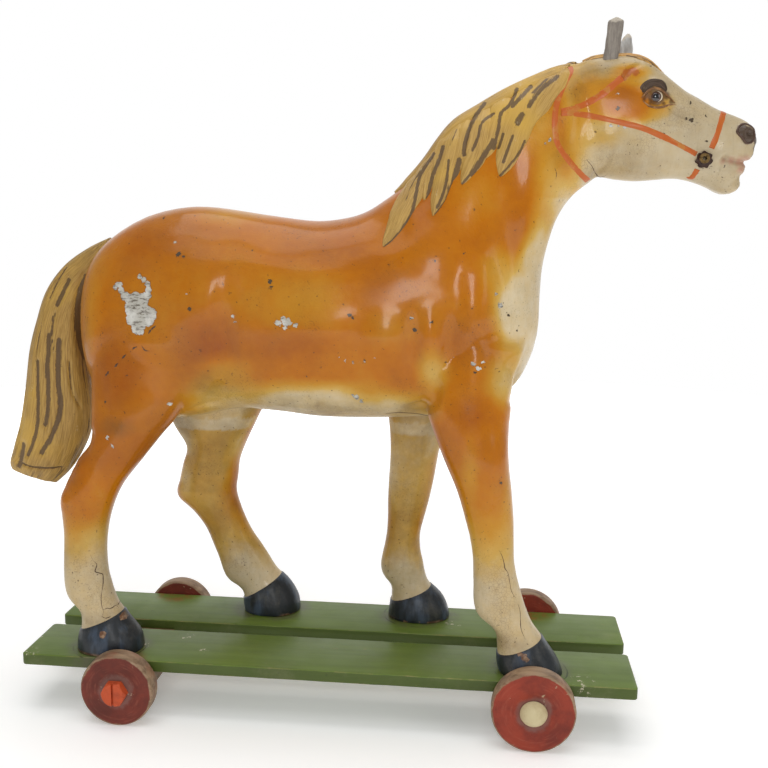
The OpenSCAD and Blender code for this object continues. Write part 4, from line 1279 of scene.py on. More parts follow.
@dataclass
class Surface:
    """The finished skin as something other pieces are laid on."""

    tree: BVHTree

    @classmethod
    def of(cls, objects: list[Piece]) -> "Surface":
        """Gathers the objects' faces into one search tree."""
        verts: list[Vector] = []
        faces: list[tuple[int, ...]] = []
        for obj in objects:
            start = len(verts)
            verts += [v.co.copy() for v in obj.data.vertices]
            faces += [tuple(i + start for i in f.vertices) for f in obj.data.polygons]
        return cls(BVHTree.FromPolygons(verts, faces))

    def snap(self, point: Vector) -> tuple[Vector, Vector]:
        """The nearest place on the skin and its normal."""
        place, normal, _, _ = self.tree.find_nearest(point)
        return place, normal

    def from_side(self, x: float, z: float, side: int) -> Vector:
        """Where a line from the side meets the skin, in millimetres in and metres out."""
        hit, _, _, _ = self.tree.ray_cast(Vector((x, side * 200, z)) * MM, Vector((0, -side, 0)))
        return hit if hit is not None else self.snap(Vector((x, side * 12, z)) * MM)[0]


@dataclass
class Strip:
    """A band laid on the skin along a line, with its own width and height."""

    line: list[Vector]
    width: float
    lift: float
    ends: float = 0.0
    across: int = 6
    pitch: float = 1.0
    ripple: float = 0.0
    strands: int = 0
    wander: float = 0.0
    taper_from: float = 0.0
    tip: float = 0.8
    edge: float = 0.5
    # How strongly the band is darkened towards its edges, as painted shade.
    sunk: float = 0.0

    def add(self, bm: Net, skin: Surface, marks: dict[str, list[float]], seed: int = 0) -> None:
        """Adds the band to a mesh.

        Args:
            bm: the mesh to add to.
            skin: what it lies on.
            marks: lists of groove and ridge values to grow with the points; the groove values hold painted shade at
                the band's edges and strokes in its grooves.
            seed: varies the strands and the wandering.
        """
        pts = np.array([tuple(p) for p in self.line])
        dense = np.array(easing([(*p, 0, 0, 0) for p in pts], 24))[:, :3]
        run = np.concatenate([[0], np.cumsum(np.linalg.norm(np.diff(dense, axis=0), axis=1))])
        long = run[-1] / MM
        count = max(6, int(run[-1] / MM / self.pitch))
        ticks = np.linspace(0, run[-1], count + 1)
        spine = np.stack([np.interp(ticks, run, dense[:, k]) for k in range(3)], 1)
        grid = bmesh.ops.create_grid(bm, x_segments=count, y_segments=self.across, size=0.5)["verts"]
        rng = np.random.default_rng(seed + 11)
        phase = rng.uniform(0, 6.28, 4)
        snapped = [skin.snap(Vector(p)) for p in spine]
        for v in grid:
            u, w = v.co.x + 0.5, v.co.y * 2
            i = min(int(round(u * count)), count)
            place, normal = snapped[i]
            ahead = (snapped[min(i + 1, count)][0] - snapped[max(i - 1, 0)][0]).normalized()
            side = ahead.cross(normal).normalized()
            wide = self.width * self.shape(u)
            wide *= 1 + self.wander * math.sin(7 * u + phase[0]) * math.sin(17 * u + phase[1])
            at, n2 = skin.snap(place + side * (w * wide / 2 * MM))
            dome = max(0.0, 1 - abs(w) ** 3)
            comb = 0.0
            if self.strands:
                comb = 0.5 - 0.5 * math.cos(math.pi * self.strands * (w + 1) + 1.3 * math.sin(5 * u + phase[2]))
            rise = self.lift * (0.25 + 0.75 * self.shape(u)) * dome - 0.35 * (1 - dome) - self.ripple * comb * dome
            rise *= min(1.0, 0.12 + u / self.sunk) if self.sunk else 1.0
            v.co = at + n2 * rise * MM
            # Painted shade along the band's edges and dark strokes in the combed grooves go into the groove marks.
            rim = max(0.0, (abs(w) - 0.62) / 0.38)
            marks["groove_strokes_and_shade"].append(min(1.0, self.edge * rim + (comb**3 * 0.35 if self.strands else 0)))
            marks["ridge"].append(dome * (1 - comb))
            marks["flow"].append((u * long, w * wide / 2, seed * 7.3))

    def shape(self, u: float) -> float:
        """Relative width along the band: full, then tapering to the tip."""
        start = min(1.0, 0.35 + u / self.ends) if self.ends else 1.0
        if self.taper_from and u > self.taper_from:
            return start * max(
                0.05, math.cos((u - self.taper_from) / (1 - self.taper_from) * math.pi / 2) ** self.tip
            )
        return start


@dataclass
class Trim:
    """Painted straps, hair, cracks, brows, lids and nostril rims laid on the skin."""

    skin: Surface

    def laid(
        self, name: str, strips: list[Strip], material: Finish, strokes: tuple[Stroke, ...] = ()
    ) -> Piece:
        """Builds several bands as one piece.

        Args:
            name: the piece's name.
            strips: the bands.
            material: their finish.
            strokes: brush strokes painted on the right side.

        Returns:
            The dressed piece.
        """
        bm = bmesh.new()
        marks: dict[str, list] = {"groove_strokes_and_shade": [], "ridge": [], "flow": []}
        for k, strip in enumerate(strips):
            strip.add(bm, self.skin, marks, k)
        bm.verts.index_update()
        obj = to_object(bm, name, fix=False)
        mark_flow(obj.data, np.array(marks.pop("flow")))
        for key, values in marks.items():
            mark(obj.data, key, np.array(values))
        if strokes:
            co = corners(obj.data) / MM
            mark(obj.data, "ink", np.max([stroke.ink(co) for stroke in strokes], 0) * (co[:, 1] < -3))
        self.face_out(obj)
        thick = obj.modifiers.new("body", "SOLIDIFY")
        thick.thickness = 0.0006
        thick.offset = -1.0
        bake_modifiers(obj)
        return dress(obj, material)

    def face_out(self, obj: Piece) -> None:
        """Turns a laid piece's faces away from the skin."""
        bm = bmesh.new()
        bm.from_mesh(obj.data)
        turned = [f for f in bm.faces if f.normal.dot(self.skin.snap(f.calc_center_median())[1]) < 0]
        bmesh.ops.reverse_faces(bm, faces=turned)
        bm.to_mesh(obj.data)
        bm.free()

    def path(self, points: Line, side: int) -> list[Vector]:
        """Side-view points, in millimetres, dropped on to the skin."""
        return [self.skin.from_side(x, z, side) for x, z in points]

    def straps(self) -> None:
        """The painted bridle, the same on both sides."""
        runs = (
            (
                (
                    (149, 482), (150, 474), (144, 462), (140.5, 450), (140, 438), (142, 426), (149, 416), (158, 407),
                    (166, 401)
                ),
                4.6
            ),
            (((144, 446), (160, 445), (179, 441), (199, 436), (217, 429), (231, 422.5), (238, 419)), 4.4),
            (((144, 447), (155, 450), (164, 454)), 4.6), (((162, 453), (172, 459), (180, 466), (185, 470)), 5.4),
            (((257, 449), (254, 441), (251, 431), (248, 423)), 4.4), (((240, 409), (237, 403), (234.5, 399)), 4.2),
        )
        strips = [
            Strip(self.path(points, side), width * 1.3, 0.16, across=6, wander=0.10) for points, width in runs
            for side in (-1, 1)
        ]
        over = [
            Vector((x, y, z)) * MM for x, y, z in ((257, -12, 449), (258, -5, 450.5), (258, 5, 450.5), (257, 12, 449))
        ]
        strips.append(Strip(over, 5.6, 0.16, across=6))
        paint = LinePaint("bridle_paint", tint(178, 78, 10), tint(178, 110, 40), 0.54)
        self.laid("bridle_lines", strips, paint.make())

    def mane(self) -> None:
        """The leaf-shaped locks on the right of the neck, and short ones over the crest."""
        leaves = (
            (((62, 430), (54, 414), (46, 399), (36.5, 380), (23.7, 353.8)), 21, 0.46, 3),
            (((74, 446), (70.5, 428), (66.6, 411), (62.3, 393.4), (57.7, 375.3)), 17, 0.48, 3.2),
            (((91, 455), (90, 441), (87.8, 427.6), (84.2, 414), (77, 396.9)), 20, 0.40, 3.4),
            (((126, 470), (119, 451.1), (112.7, 434.4), (107.9, 417.5), (103.3, 402.5)), 25, 0.40, 3.6),
            (((143, 478), (137, 468), (128, 455), (119, 441), (112, 426)), 22, 0.30, 3),
            (((60, 432), (56, 416), (53, 402), (51, 386)), 14, 0.55, 2.2),
            (((66, 440), (61, 424), (58, 410), (55, 394)), 14, 0.6, 2.2),
            (((78, 448), (77, 432), (74, 414), (69, 398)), 13, 0.5, 2.2),
            (((106, 462), (102, 446), (97, 430), (88, 412)), 17, 0.5, 2.4),
            (((146, 480), (142, 470), (134, 458), (127, 448)), 15, 0.4, 2),
            (((46, 412), (40, 398), (33, 382), (27, 366)), 13, 0.5, 2.2),
        )
        strips = [
            Strip(
                self.path(points, -1), width, lift, ends=0.4, across=18, pitch=0.9, ripple=0.5, strands=2,
                wander=0.07, taper_from=start, tip=0.62, sunk=0.3
            )
            for points, width, start, lift in leaves
        ]
        crest = (
            (27, -3, 393), (34, -4, 401), (44, -5, 411), (54, -6, 425), (69, -7, 444), (86, -8, 453), (104, -8, 463),
            (127, -8, 473), (150, -8, 481)
        )
        strips.append(
            Strip(
                [Vector(p) * MM for p in crest], 24, 2.6, ends=0.12, across=20, pitch=1.0, wander=0.05,
                taper_from=0.9, edge=0.2
            )
        )
        for k in range(11):
            t = k / 10
            x, z = 34 + 116 * t, float(
                np.interp(34 + 116 * t, (34, 50, 70, 86, 105, 127, 152), (399, 417, 443, 453, 464, 474, 484))
            )
            line = [Vector(p) * MM for p in ((x + 4, -3, z), (x - 2, 10, z - 6), (x - 10, 20, z - 19 - 4 * (k % 2)))]
            strips.append(
                Strip(
                    line, 15, 2.4, ends=0.3, across=14, pitch=1.0, ripple=0.8, strands=2, wander=0.1, taper_from=0.4,
                    tip=0.6
                )
            )
        strokes = (
            Stroke(3.4, ((91.1, 454), (83.2, 441.3), (78.6, 425.2), (78, 417.2))),
            Stroke(2.8, ((56.4, 418.7), (47.4, 404), (45.1, 390.9), (42.8, 376))),
            Stroke(3.2, ((62.9, 423.6), (59.8, 412.2), (56.6, 404.1), (53.6, 387.6), (54.6, 377.7))),
            Stroke(2.2, ((67.3, 413.9), (66.7, 402.5), (64.4, 391), (60.4, 381.1))),
            Stroke(2.4, ((97.8, 446), (89.8, 439.7), (87.6, 430.1), (83.7, 420.4))),
            Stroke(2.8, ((113.5, 463.4), (109, 452.4), (102.7, 446), (101.3, 436.5), (98.5, 422))),
            Stroke(3.4, ((123.2, 464.9), (110.7, 450.8))),
            Stroke(4.4, ((140.6, 471.1), (129.7, 461.7), (122.1, 450.7)), 0.9),
            Stroke(4.6, ((117.4, 444.4), (114.3, 438.8))),
            Stroke(2.4, ((111.3, 430.1), (108.3, 422), (105.3, 412.4))), Stroke(2, ((104.8, 431.7), (101.8, 422))),
            Stroke(4.2, ((98.3, 426.9), (92, 417.2), (84.1, 404.2))),
            Stroke(4.2, ((74.7, 413.9), (71.7, 400.9), (67.8, 387.7))),
            Stroke(2.8, ((42.8, 376), (32.8, 360.9), (24.4, 353.2))), Stroke(2.2, ((67.8, 387.7), (59.6, 376.1))),
            Stroke(1.8, ((119.6, 426.9), (115, 417.2), (103.1, 402.6))), Stroke(2, ((87.3, 409.1), (76.8, 396.8))),
            Stroke(1.6, ((134, 470), (124, 460))), Stroke(1.6, ((72, 436), (68, 424)), 0.8),
            Stroke(1.4, ((50, 412), (42, 398), (38, 386)), 0.8),
        )
        paint = HairPaint("mane_paint", tint(186, 150, 82), tint(160, 124, 60), inked=True)
        self.laid("mane", strips, paint.make(), strokes)

    def forelock(self) -> None:
        """Flat locks painted and raised between the ears and down the forehead."""
        lines = (
            ((158, -3, 486), (176, -6, 488), (194, -7, 487)), ((160, 4, 486), (178, 6, 488), (196, 6, 487)),
            ((184, -3, 489), (200, -8, 485), (213, -9, 476)), ((184, 3, 489), (200, 1, 487), (216, -2, 476)),
            ((184, 6, 488), (200, 9, 485), (212, 9, 477)),
        )
        strips = [
            Strip(
                [Vector(p) * MM for p in line], 10, 1.7, ends=0.3, across=12, pitch=0.9, ripple=0.8, strands=2,
                wander=0.1, taper_from=0.4
            )
            for line in lines
        ]
        self.laid(
            "forelock", strips, HairPaint("forelock_paint", tint(196, 152, 84), tint(178, 126, 58)).make(),
        )

    def cracks(self) -> None:
        """Seam cracks, dashes and the dark line where the legs meet the belly."""
        right = (
            (
                (
                    (-194, 122.5), (-192.5, 117.9), (-190.5, 114.1), (-191.5, 109.3), (-189, 107.1), (-187.5, 104.8),
                    (-187, 97.7), (-187.5, 89.8), (-187, 83.5), (-185.6, 78), (-186.8, 74)
                ),
                1.5
            ),
            (((-186.6, 79.6), (-183.5, 80.1), (-181.2, 79.5), (-178.8, 80)), 1.1),
            (((-186.8, 74.8), (-183.7, 73.3), (-179.8, 74.4)), 1.1),
            (
                (
                    (109.8, 140.7), (112.1, 136.3), (113.6, 131.2), (114.5, 126.7), (116.7, 123.1), (118, 117.1),
                    (119.2, 111.2), (120.7, 107.5), (123, 103.8)
                ),
                1.1
            ),
            (((124.6, 99.3), (126.1, 94.9), (126.7, 88.8), (127.2, 82.7), (128.8, 78.2), (131.1, 73.8)), 1),
            (((-177.5, 258.6), (-175.9, 260.4), (-174, 262.6)), 3.2),
            (((-169.6, 265.6), (-168.1, 267.1), (-166.2, 269)), 3.2),
            (((-163.4, 272.2), (-161.8, 273.7), (-159.8, 275.4)), 3),
            (((-155, 279.2), (-153, 280.6), (-150.6, 281.4)), 2.6),
            (((-147.2, 282.4), (-145, 279), (-141.4, 278.6)), 1.8),
            (((-142, 291), (-139.7, 294.2), (-136, 297)), 2.6), (((149, 484), (148.5, 479), (149, 474)), 0.8),
            (((163, 415), (167, 411), (170, 407), (175, 404), (178, 401)), 1.2),
            (((141, 409), (142.5, 405), (142, 401)), 0.8),
            (((24.5, 231.5), (36.9, 232.6), (52.2, 229.5), (58.7, 225.8)), 2.4),
        )
        strips = [
            Strip(self.path(points, -1), width, 0.3, across=2, pitch=0.6, wander=0.6, taper_from=0.6, ends=0.3)
            for points, width in right
        ]
        dark = LinePaint("crack_brown", tint(62, 44, 32), tint(120, 84, 46), 0.66, 0.5)
        self.laid("seam_cracks", strips, dark.make())

    def brows(self) -> None:
        """Textured brows and raised lids round both eyes."""
        brow, lids = [], []
        for side in (-1, 1):
            brow.append(
                Strip(
                    self.path(
                        ((199, 459.5), (200.6, 463.6), (205, 466.4), (210, 466), (213.6, 463), (214.6, 460.5)), side
                    ),
                    7.2, 1.2, ends=0.2, across=14, pitch=0.5, ripple=0.8, strands=5, taper_from=0.7, tip=0.5
                )
            )
            lids.append(
                Strip(
                    self.path(
                        ((198, 456), (201.5, 460.2), (206, 462.6), (211, 461.8), (216, 457.6), (221, 453)), side
                    ),
                    2.0, 1.3, ends=0.3, across=8, pitch=0.5, taper_from=0.6
                )
            )
            lids.append(
                Strip(
                    self.path(((199, 454), (203, 450.8), (208, 449.6), (213, 450.2), (217, 451.6), (222, 452)), side),
                    1.8, 0.8, ends=0.3, across=8, pitch=0.5, taper_from=0.6
                )
            )
        self.laid(
            "brows", brow,
            HairPaint(
                "brow_paint", tint(84, 64, 48), tint(58, 42, 34), tint(34, 24, 20), tint(100, 80, 60), share=0.5
            ).make(),
        )
        self.laid(
            "eyelids", lids, LinePaint("lid_paint", tint(96, 60, 30), tint(150, 108, 64), 0.5).make()
        )

    def nostrils(self) -> None:
        """Dark raised rims round both nostrils."""
        strips = []
        for side in (-1, 1):
            ring = (
                (264.6, 434), (266.4, 438), (269.6, 439.8), (274, 438.6), (277, 435), (277.6, 430.6), (275.4, 427.4),
                (271.8, 426.8), (268.6, 429.6), (264.6, 434)
            )
            strips.append(Strip(self.path(ring, side), 1.8, 0.9, across=6, pitch=0.5))
        self.laid(
            "nostril_rims", strips, LinePaint("nostril_brown", tint(66, 46, 38), tint(104, 76, 60)).make(),
        )


@dataclass
class Tail:
    """The hanging tail, combed into long grooves."""

    segments: int = 132
    steps: int = 18
    strokes: tuple[Stroke, ...] = (
        Stroke(4, ((-220.4, 325.4), (-225, 315.3), (-229.6, 306.3))),
        Stroke(
            3.4,
            ((-247.7, 262.3), (-248.1, 245.8), (-248.5, 227.1), (-250.5, 208.2), (-256.7, 193.3), (-260.3, 186.8))
        ),
        Stroke(
            4.4, ((-237.1, 282.9), (-237.8, 268.6), (-239.4, 258.4), (-239, 246), (-239.9, 227.4), (-242.8, 212.7))
        ),
        Stroke(
            4.4,
            (
                (-228.9, 279), (-229.6, 264.7), (-230.5, 246.3), (-229.7, 231.8), (-231.9, 217.2), (-239, 202.3),
                (-248.3, 189.3)
            )
        ),
        Stroke(
            4.6,
            (
                (-206.8, 327.6), (-211.4, 317.6), (-214.7, 299.5), (-215, 283.4), (-211.8, 263.1), (-205.5, 238.7),
                (-204.1, 220.1), (-212.6, 196.9), (-226.4, 175.3)
            )
        ),
        Stroke(2, ((-224.1, 335.2), (-229.8, 325.2), (-236.7, 311.1)), 0.8),
        Stroke(4.6, ((-264.1, 195.1), (-266.9, 184.4), (-269.9, 176.8))),
        Stroke(3, ((-233.2, 297.1), (-235, 282.9)), 0.8),
        Stroke(1.8, ((-267.1, 180.1), (-256.5, 176.3), (-234.9, 176))),
        Stroke(1.6, ((-231, 300), (-234, 285), (-233, 270)), 0.8),
        Stroke(1.4, ((-244, 290), (-248, 272), (-250, 256)), 0.8),
        Stroke(1.6, ((-222, 262), (-221, 240), (-216, 226)), 0.7),
    )

    def build(self) -> None:
        """Lofts the tail, combs it and dresses it."""
        rows = easing(TAIL, self.steps)
        bm = bmesh.new()
        loft(bm, rows, self.segments, 2.2)
        obj = to_object(bm, "tail_hair")
        self.comb(obj, np.array(rows))
        paint = HairPaint("tail_paint", tint(182, 146, 76), tint(148, 114, 54), inked=True)
        dress(obj, paint.make(), ("tail",))

    def comb(self, obj: Piece, rows: np.ndarray) -> None:
        """Cuts the grooves between the locks and marks where the paint strokes run, with painted shadow along the
        tail's front edge.

        Args:
            obj: the smooth tail.
            rows: the sections it was lofted through.
        """
        co = corners(obj.data)
        mm = co / MM
        normals = outward(obj.data)
        middle = (rows[:, :2] + rows[:, 2:4]) / 2
        near = np.argmin(((mm[:, None, ::2] - middle[None]) ** 2).sum(2), axis=1)
        run = near / (len(rows) - 1)
        row = rows[near]
        spread = (mm[:, 0] - middle[near, 0]) / np.maximum(np.abs(row[:, 0] - row[:, 2]) / 2, 6)
        round_ = np.arctan2(mm[:, 1] / np.maximum(row[:, 4], 5), spread)
        sway = 0.5 * np.sin(4.2 * run + 0.5) + 0.18 * np.sin(11 * run)
        comb = 0.5 + 0.5 * np.cos(9 * (round_ + sway * 0.55))
        small = 0.5 + 0.5 * np.cos(23 * (round_ + sway * 0.5) + 3 * np.sin(6 * run))
        ends = np.clip(run * 7, 0, 1) * np.clip((1.0 - run) * 14, 0.3, 1)
        ink = np.max([stroke.ink(mm) for stroke in self.strokes], 0) * (mm[:, 1] < 0)
        near_side = np.clip((mm[:, 1] + 2) / 6, 0, 1)
        depth = (
            (1 - comb) ** 2 * 1.9 + (1 - small) ** 2 * 0.5
        ) * (0.25 + 0.75 * near_side) + np.clip(ink * 1.6, 0, 1) * 1.3
        put_corners(obj.data, co - normals * (depth * ends)[:, None] * MM)
        strokes = np.clip((1 - comb) ** 3 * (0.75 + 0.5 * np.sin(9 * run + 3 * round_)), 0, 1)
        # Painted shadow along the tail's front edge, where it hangs against the haunch.
        edge = np.clip((spread - 0.55) / 0.3, 0, 1) * np.clip(run * 3, 0, 1)
        far = mm[:, 1] > -4
        mark(obj.data, "groove_strokes_and_shade", np.where(far, np.maximum(strokes * ends, edge * 0.6) * 0.8, 0.25 * strokes))
        mark(obj.data, "ridge", comb * small)
        mark(obj.data, "ink", ink)
        mark_flow(obj.data, np.stack([run * 240, round_ * 15, np.zeros(len(run))], 1))


@dataclass
class HeadFittings:
    """Eyes, ears and the lobed bit rosettes."""

    skin: Surface
    eye: tuple[float, float] = (207.9, 457.0)
    eye_r: float = 5.6
    bit: tuple[float, float] = (243.5, 415.5)

    def eyes(self) -> None:
        """Glass eyes set in their sockets."""
        for side, word in SIDES:
            at = self.skin.from_side(*self.eye, side)
            centre = (self.eye[0], at.y / MM - side * (self.eye_r - 2.2), self.eye[1])
            bm = bmesh.new()
            shape = Matrix.Translation(Vector(centre) * MM) @ Matrix.Rotation(math.pi / 2, 4, "X")
            bmesh.ops.create_uvsphere(bm, u_segments=40, v_segments=24, radius=self.eye_r * MM, matrix=shape)
            ball = to_object(bm, f"eye_ball_{word}")
            dress(ball, EyeGlass(f"eye_glass_{word}", centre).make(), (f"eye_{word}",))

    def ears(self) -> None:
        """A worn flat peg ear on the right and a rounded leaf ear on the left."""
        self.ear(
            "ear_slab_right", "ear_right", (176.8, -10.5, 477.5), 5.2, (33.5, 4.6, 3.4), 0.0, tint(140, 132, 122),
            tint(112, 104, 96)
        )
        self.ear(
            "ear_leaf_left", "ear_left", (187.4, 10.5, 476), 4.6, (28.5, 4.2, 4.0), 1.0, tint(186, 186, 184),
            tint(150, 148, 144)
        )

    def ear(
        self, name: str, node: str, at: Point, half: float, size: Point, leaf: float, base: Color, stain: Color
    ) -> None:
        """One carved ear: a straight slab, or a leaf bellied in the middle.

        Args:
            name: the piece's name.
            node: the CAD node it replaces.
            at: where its foot is.
            half: half its width at the foot.
            size: its height, thickness and how far its tip leans along x.
            leaf: 0 for straight sides, 1 for a leaf.
            base: its paint.
            stain: the worn tone.
        """
        bm = bmesh.new()
        tall, thick, lean = size
        rows = []
        for k in range(17):
            t = k / 16
            crown = math.sqrt(max(0.03, 1 - max(0, (t - 0.9 + 0.35 * leaf) / (0.1 + 0.35 * leaf)) ** 2 * 0.97))
            wide = half * (0.97 + 0.06 * t + leaf * 0.30 * math.sin(math.pi * min(1, t * 1.25))) * crown
            x, z, out = at[0] + lean * t, at[2] + tall * t, at[1] + math.copysign(2.0 * t, at[1])
            rows.append((x + wide, z, x - wide, z, thick / 2 * (1 - 0.3 * t) * (0.5 + 0.5 * crown), out))
        loft(bm, easing(rows, 2), 36, 3.6)
        obj = to_object(bm, name)
        co = corners(obj.data)
        mm = co / MM
        up = (mm[:, 2] - at[2]) / tall
        scoop = np.exp(
            -(((mm[:, 0] - at[0] - lean * up) / 3.0) ** 2)
        ) * np.clip(np.sin(np.pi * np.clip(up, 0, 1)), 0, 1)
        front = mm[:, 1] * math.copysign(1, at[1]) > abs(at[1]) + 2.0 * up
        co[:, 1] -= math.copysign(1, at[1]) * scoop * front * (0.3 + 0.6 * leaf) * MM
        co[:, 0] += 0.25 * np.sin(mm[:, 2] / 2.3 + mm[:, 1]) * np.sin(mm[:, 2] / 5.1) * MM
        put_corners(obj.data, co)
        dress(obj, EarPaint(f"{name}_paint", base, stain, (at[2] + tall - 4) * MM).make(), (node,))

    def rosettes(self) -> None:
        """Dark lobed discs at the corners of the mouth, each with a brass eyelet."""
        for side, word in SIDES:
            at = self.skin.from_side(*self.bit, side)
            _, normal = self.skin.snap(at)
            turn = normal.to_track_quat("Z", "X").to_matrix().to_4x4()
            place = Matrix.Translation(at - normal * 0.0006) @ turn
            bm = bmesh.new()
            bmesh.ops.create_circle(bm, segments=84, radius=5.4 * MM)
            for v in bm.verts:
                a = math.atan2(v.co.y, v.co.x)
                v.co *= 1.04 + 0.085 * math.cos(7 * a) + 0.03 * math.sin(11 * a)
            rim = bm.edges[:]
            hole = bmesh.ops.create_circle(bm, segments=84, radius=2.2 * MM)["verts"]
            inner = list({e for v in hole for e in v.link_edges})
            bmesh.ops.bridge_loops(bm, edges=rim + inner)
            made = bmesh.ops.extrude_face_region(bm, geom=bm.faces[:])["geom"]
            top = [g for g in made if isinstance(g, bmesh.types.BMFace)]
            bmesh.ops.translate(bm, vec=(0, 0, 0.0024), verts=list({v for f in top for v in f.verts}))
            bmesh.ops.inset_region(bm, faces=top, thickness=0.0009, depth=0.0006, use_even_offset=True)
            bmesh.ops.transform(bm, matrix=place, verts=bm.verts[:])
            disc = to_object(bm, f"bit_disc_{word}")
            self.round_edges(disc, 0.0004)
            dress(
                disc, HardFinish(f"bit_brown_{word}", tint(66, 44, 34), tint(34, 24, 20), 0.42, scale=200).make(),
                (f"bit_rosette_{word}",)
            )

    def round_edges(self, obj: Piece, width: float) -> None:
        """Softens an object's sharp edges."""
        soft = obj.modifiers.new("soft", "BEVEL")
        soft.width = width
        soft.segments = 2
        soft.limit_method = "ANGLE"
        bake_modifiers(obj)
        for face in obj.data.polygons:
            face.use_smooth = True


@dataclass
class Hooves:
    """Four painted hooves, each with a small ledge at the coronet."""

    proud: float = 0.8

    def build(self) -> None:
        """Builds all four as one piece."""
        bm = bmesh.new()
        for rows, toe, heel in (
            (FORE_RIGHT, (144.4, 71.4), (110.6, 58)), (HIND_RIGHT, (-173.6, 74.5), (-208.2, 60.2)),
            (HIND_LEFT, (-69.2, 75.6), (-102.8, 55)), (FORE_LEFT, (57, 71), (22.4, 58.2)),
        ):
            self.one(bm, rows, toe, heel)
        obj = to_object(bm, "hooves")
        dress(obj, HoofPaint().make())

    def one(self, bm: Net, rows: tuple[Row, ...], toe: tuple[float, float], heel: tuple[float, float]) -> None:
        """One hoof as a flared loft round the foot of a leg, its top ring sloping down to the heel.

        Args:
            bm: the mesh to add to.
            rows: the leg's section rows, sole first.
            toe: x and z of the top ring at the front.
            heel: x and z of the top ring at the back.
        """
        p = self.proud
        grid = np.array(easing(rows[:6], 6))
        sole, y = rows[0], rows[0][5] * STANCE
        build = [
            (sole[0] + p - 2.5, DECK_Z + 0.05, sole[2] - p + 2.5, DECK_Z + 0.05, sole[4] - 1.6, y),
            (sole[0] + p - 0.6, DECK_Z + 0.4, sole[2] - p + 0.6, DECK_Z + 0.4, sole[4] + p - 0.6, y),
        ]
        for t in np.linspace(0.05, 1, 8):
            front, back = (DECK_Z + (end[1] - DECK_Z) * t for end in (toe, heel))
            x1, x2 = (float(np.interp(z, grid[:, k + 1], grid[:, k])) for z, k in ((front, 0), (back, 2)))
            wide = float(np.interp((front + back) / 2, (grid[:, 1] + grid[:, 3]) / 2, grid[:, 4]))
            build.append((x1 + p, front, x2 - p, back, wide + p, y))
        last = build[-1]
        build.append((last[0] - 0.9, last[1] + 0.7, last[2] + 0.9, last[3] + 0.7, last[4] - 0.9, y))
        build.append((last[0] - 5, last[1] + 0.2, last[2] + 5, last[3] + 0.2, last[4] - 5, y))
        loft(bm, build, 64, 2.2)


# --------------------------------------------------------------------------- the platform


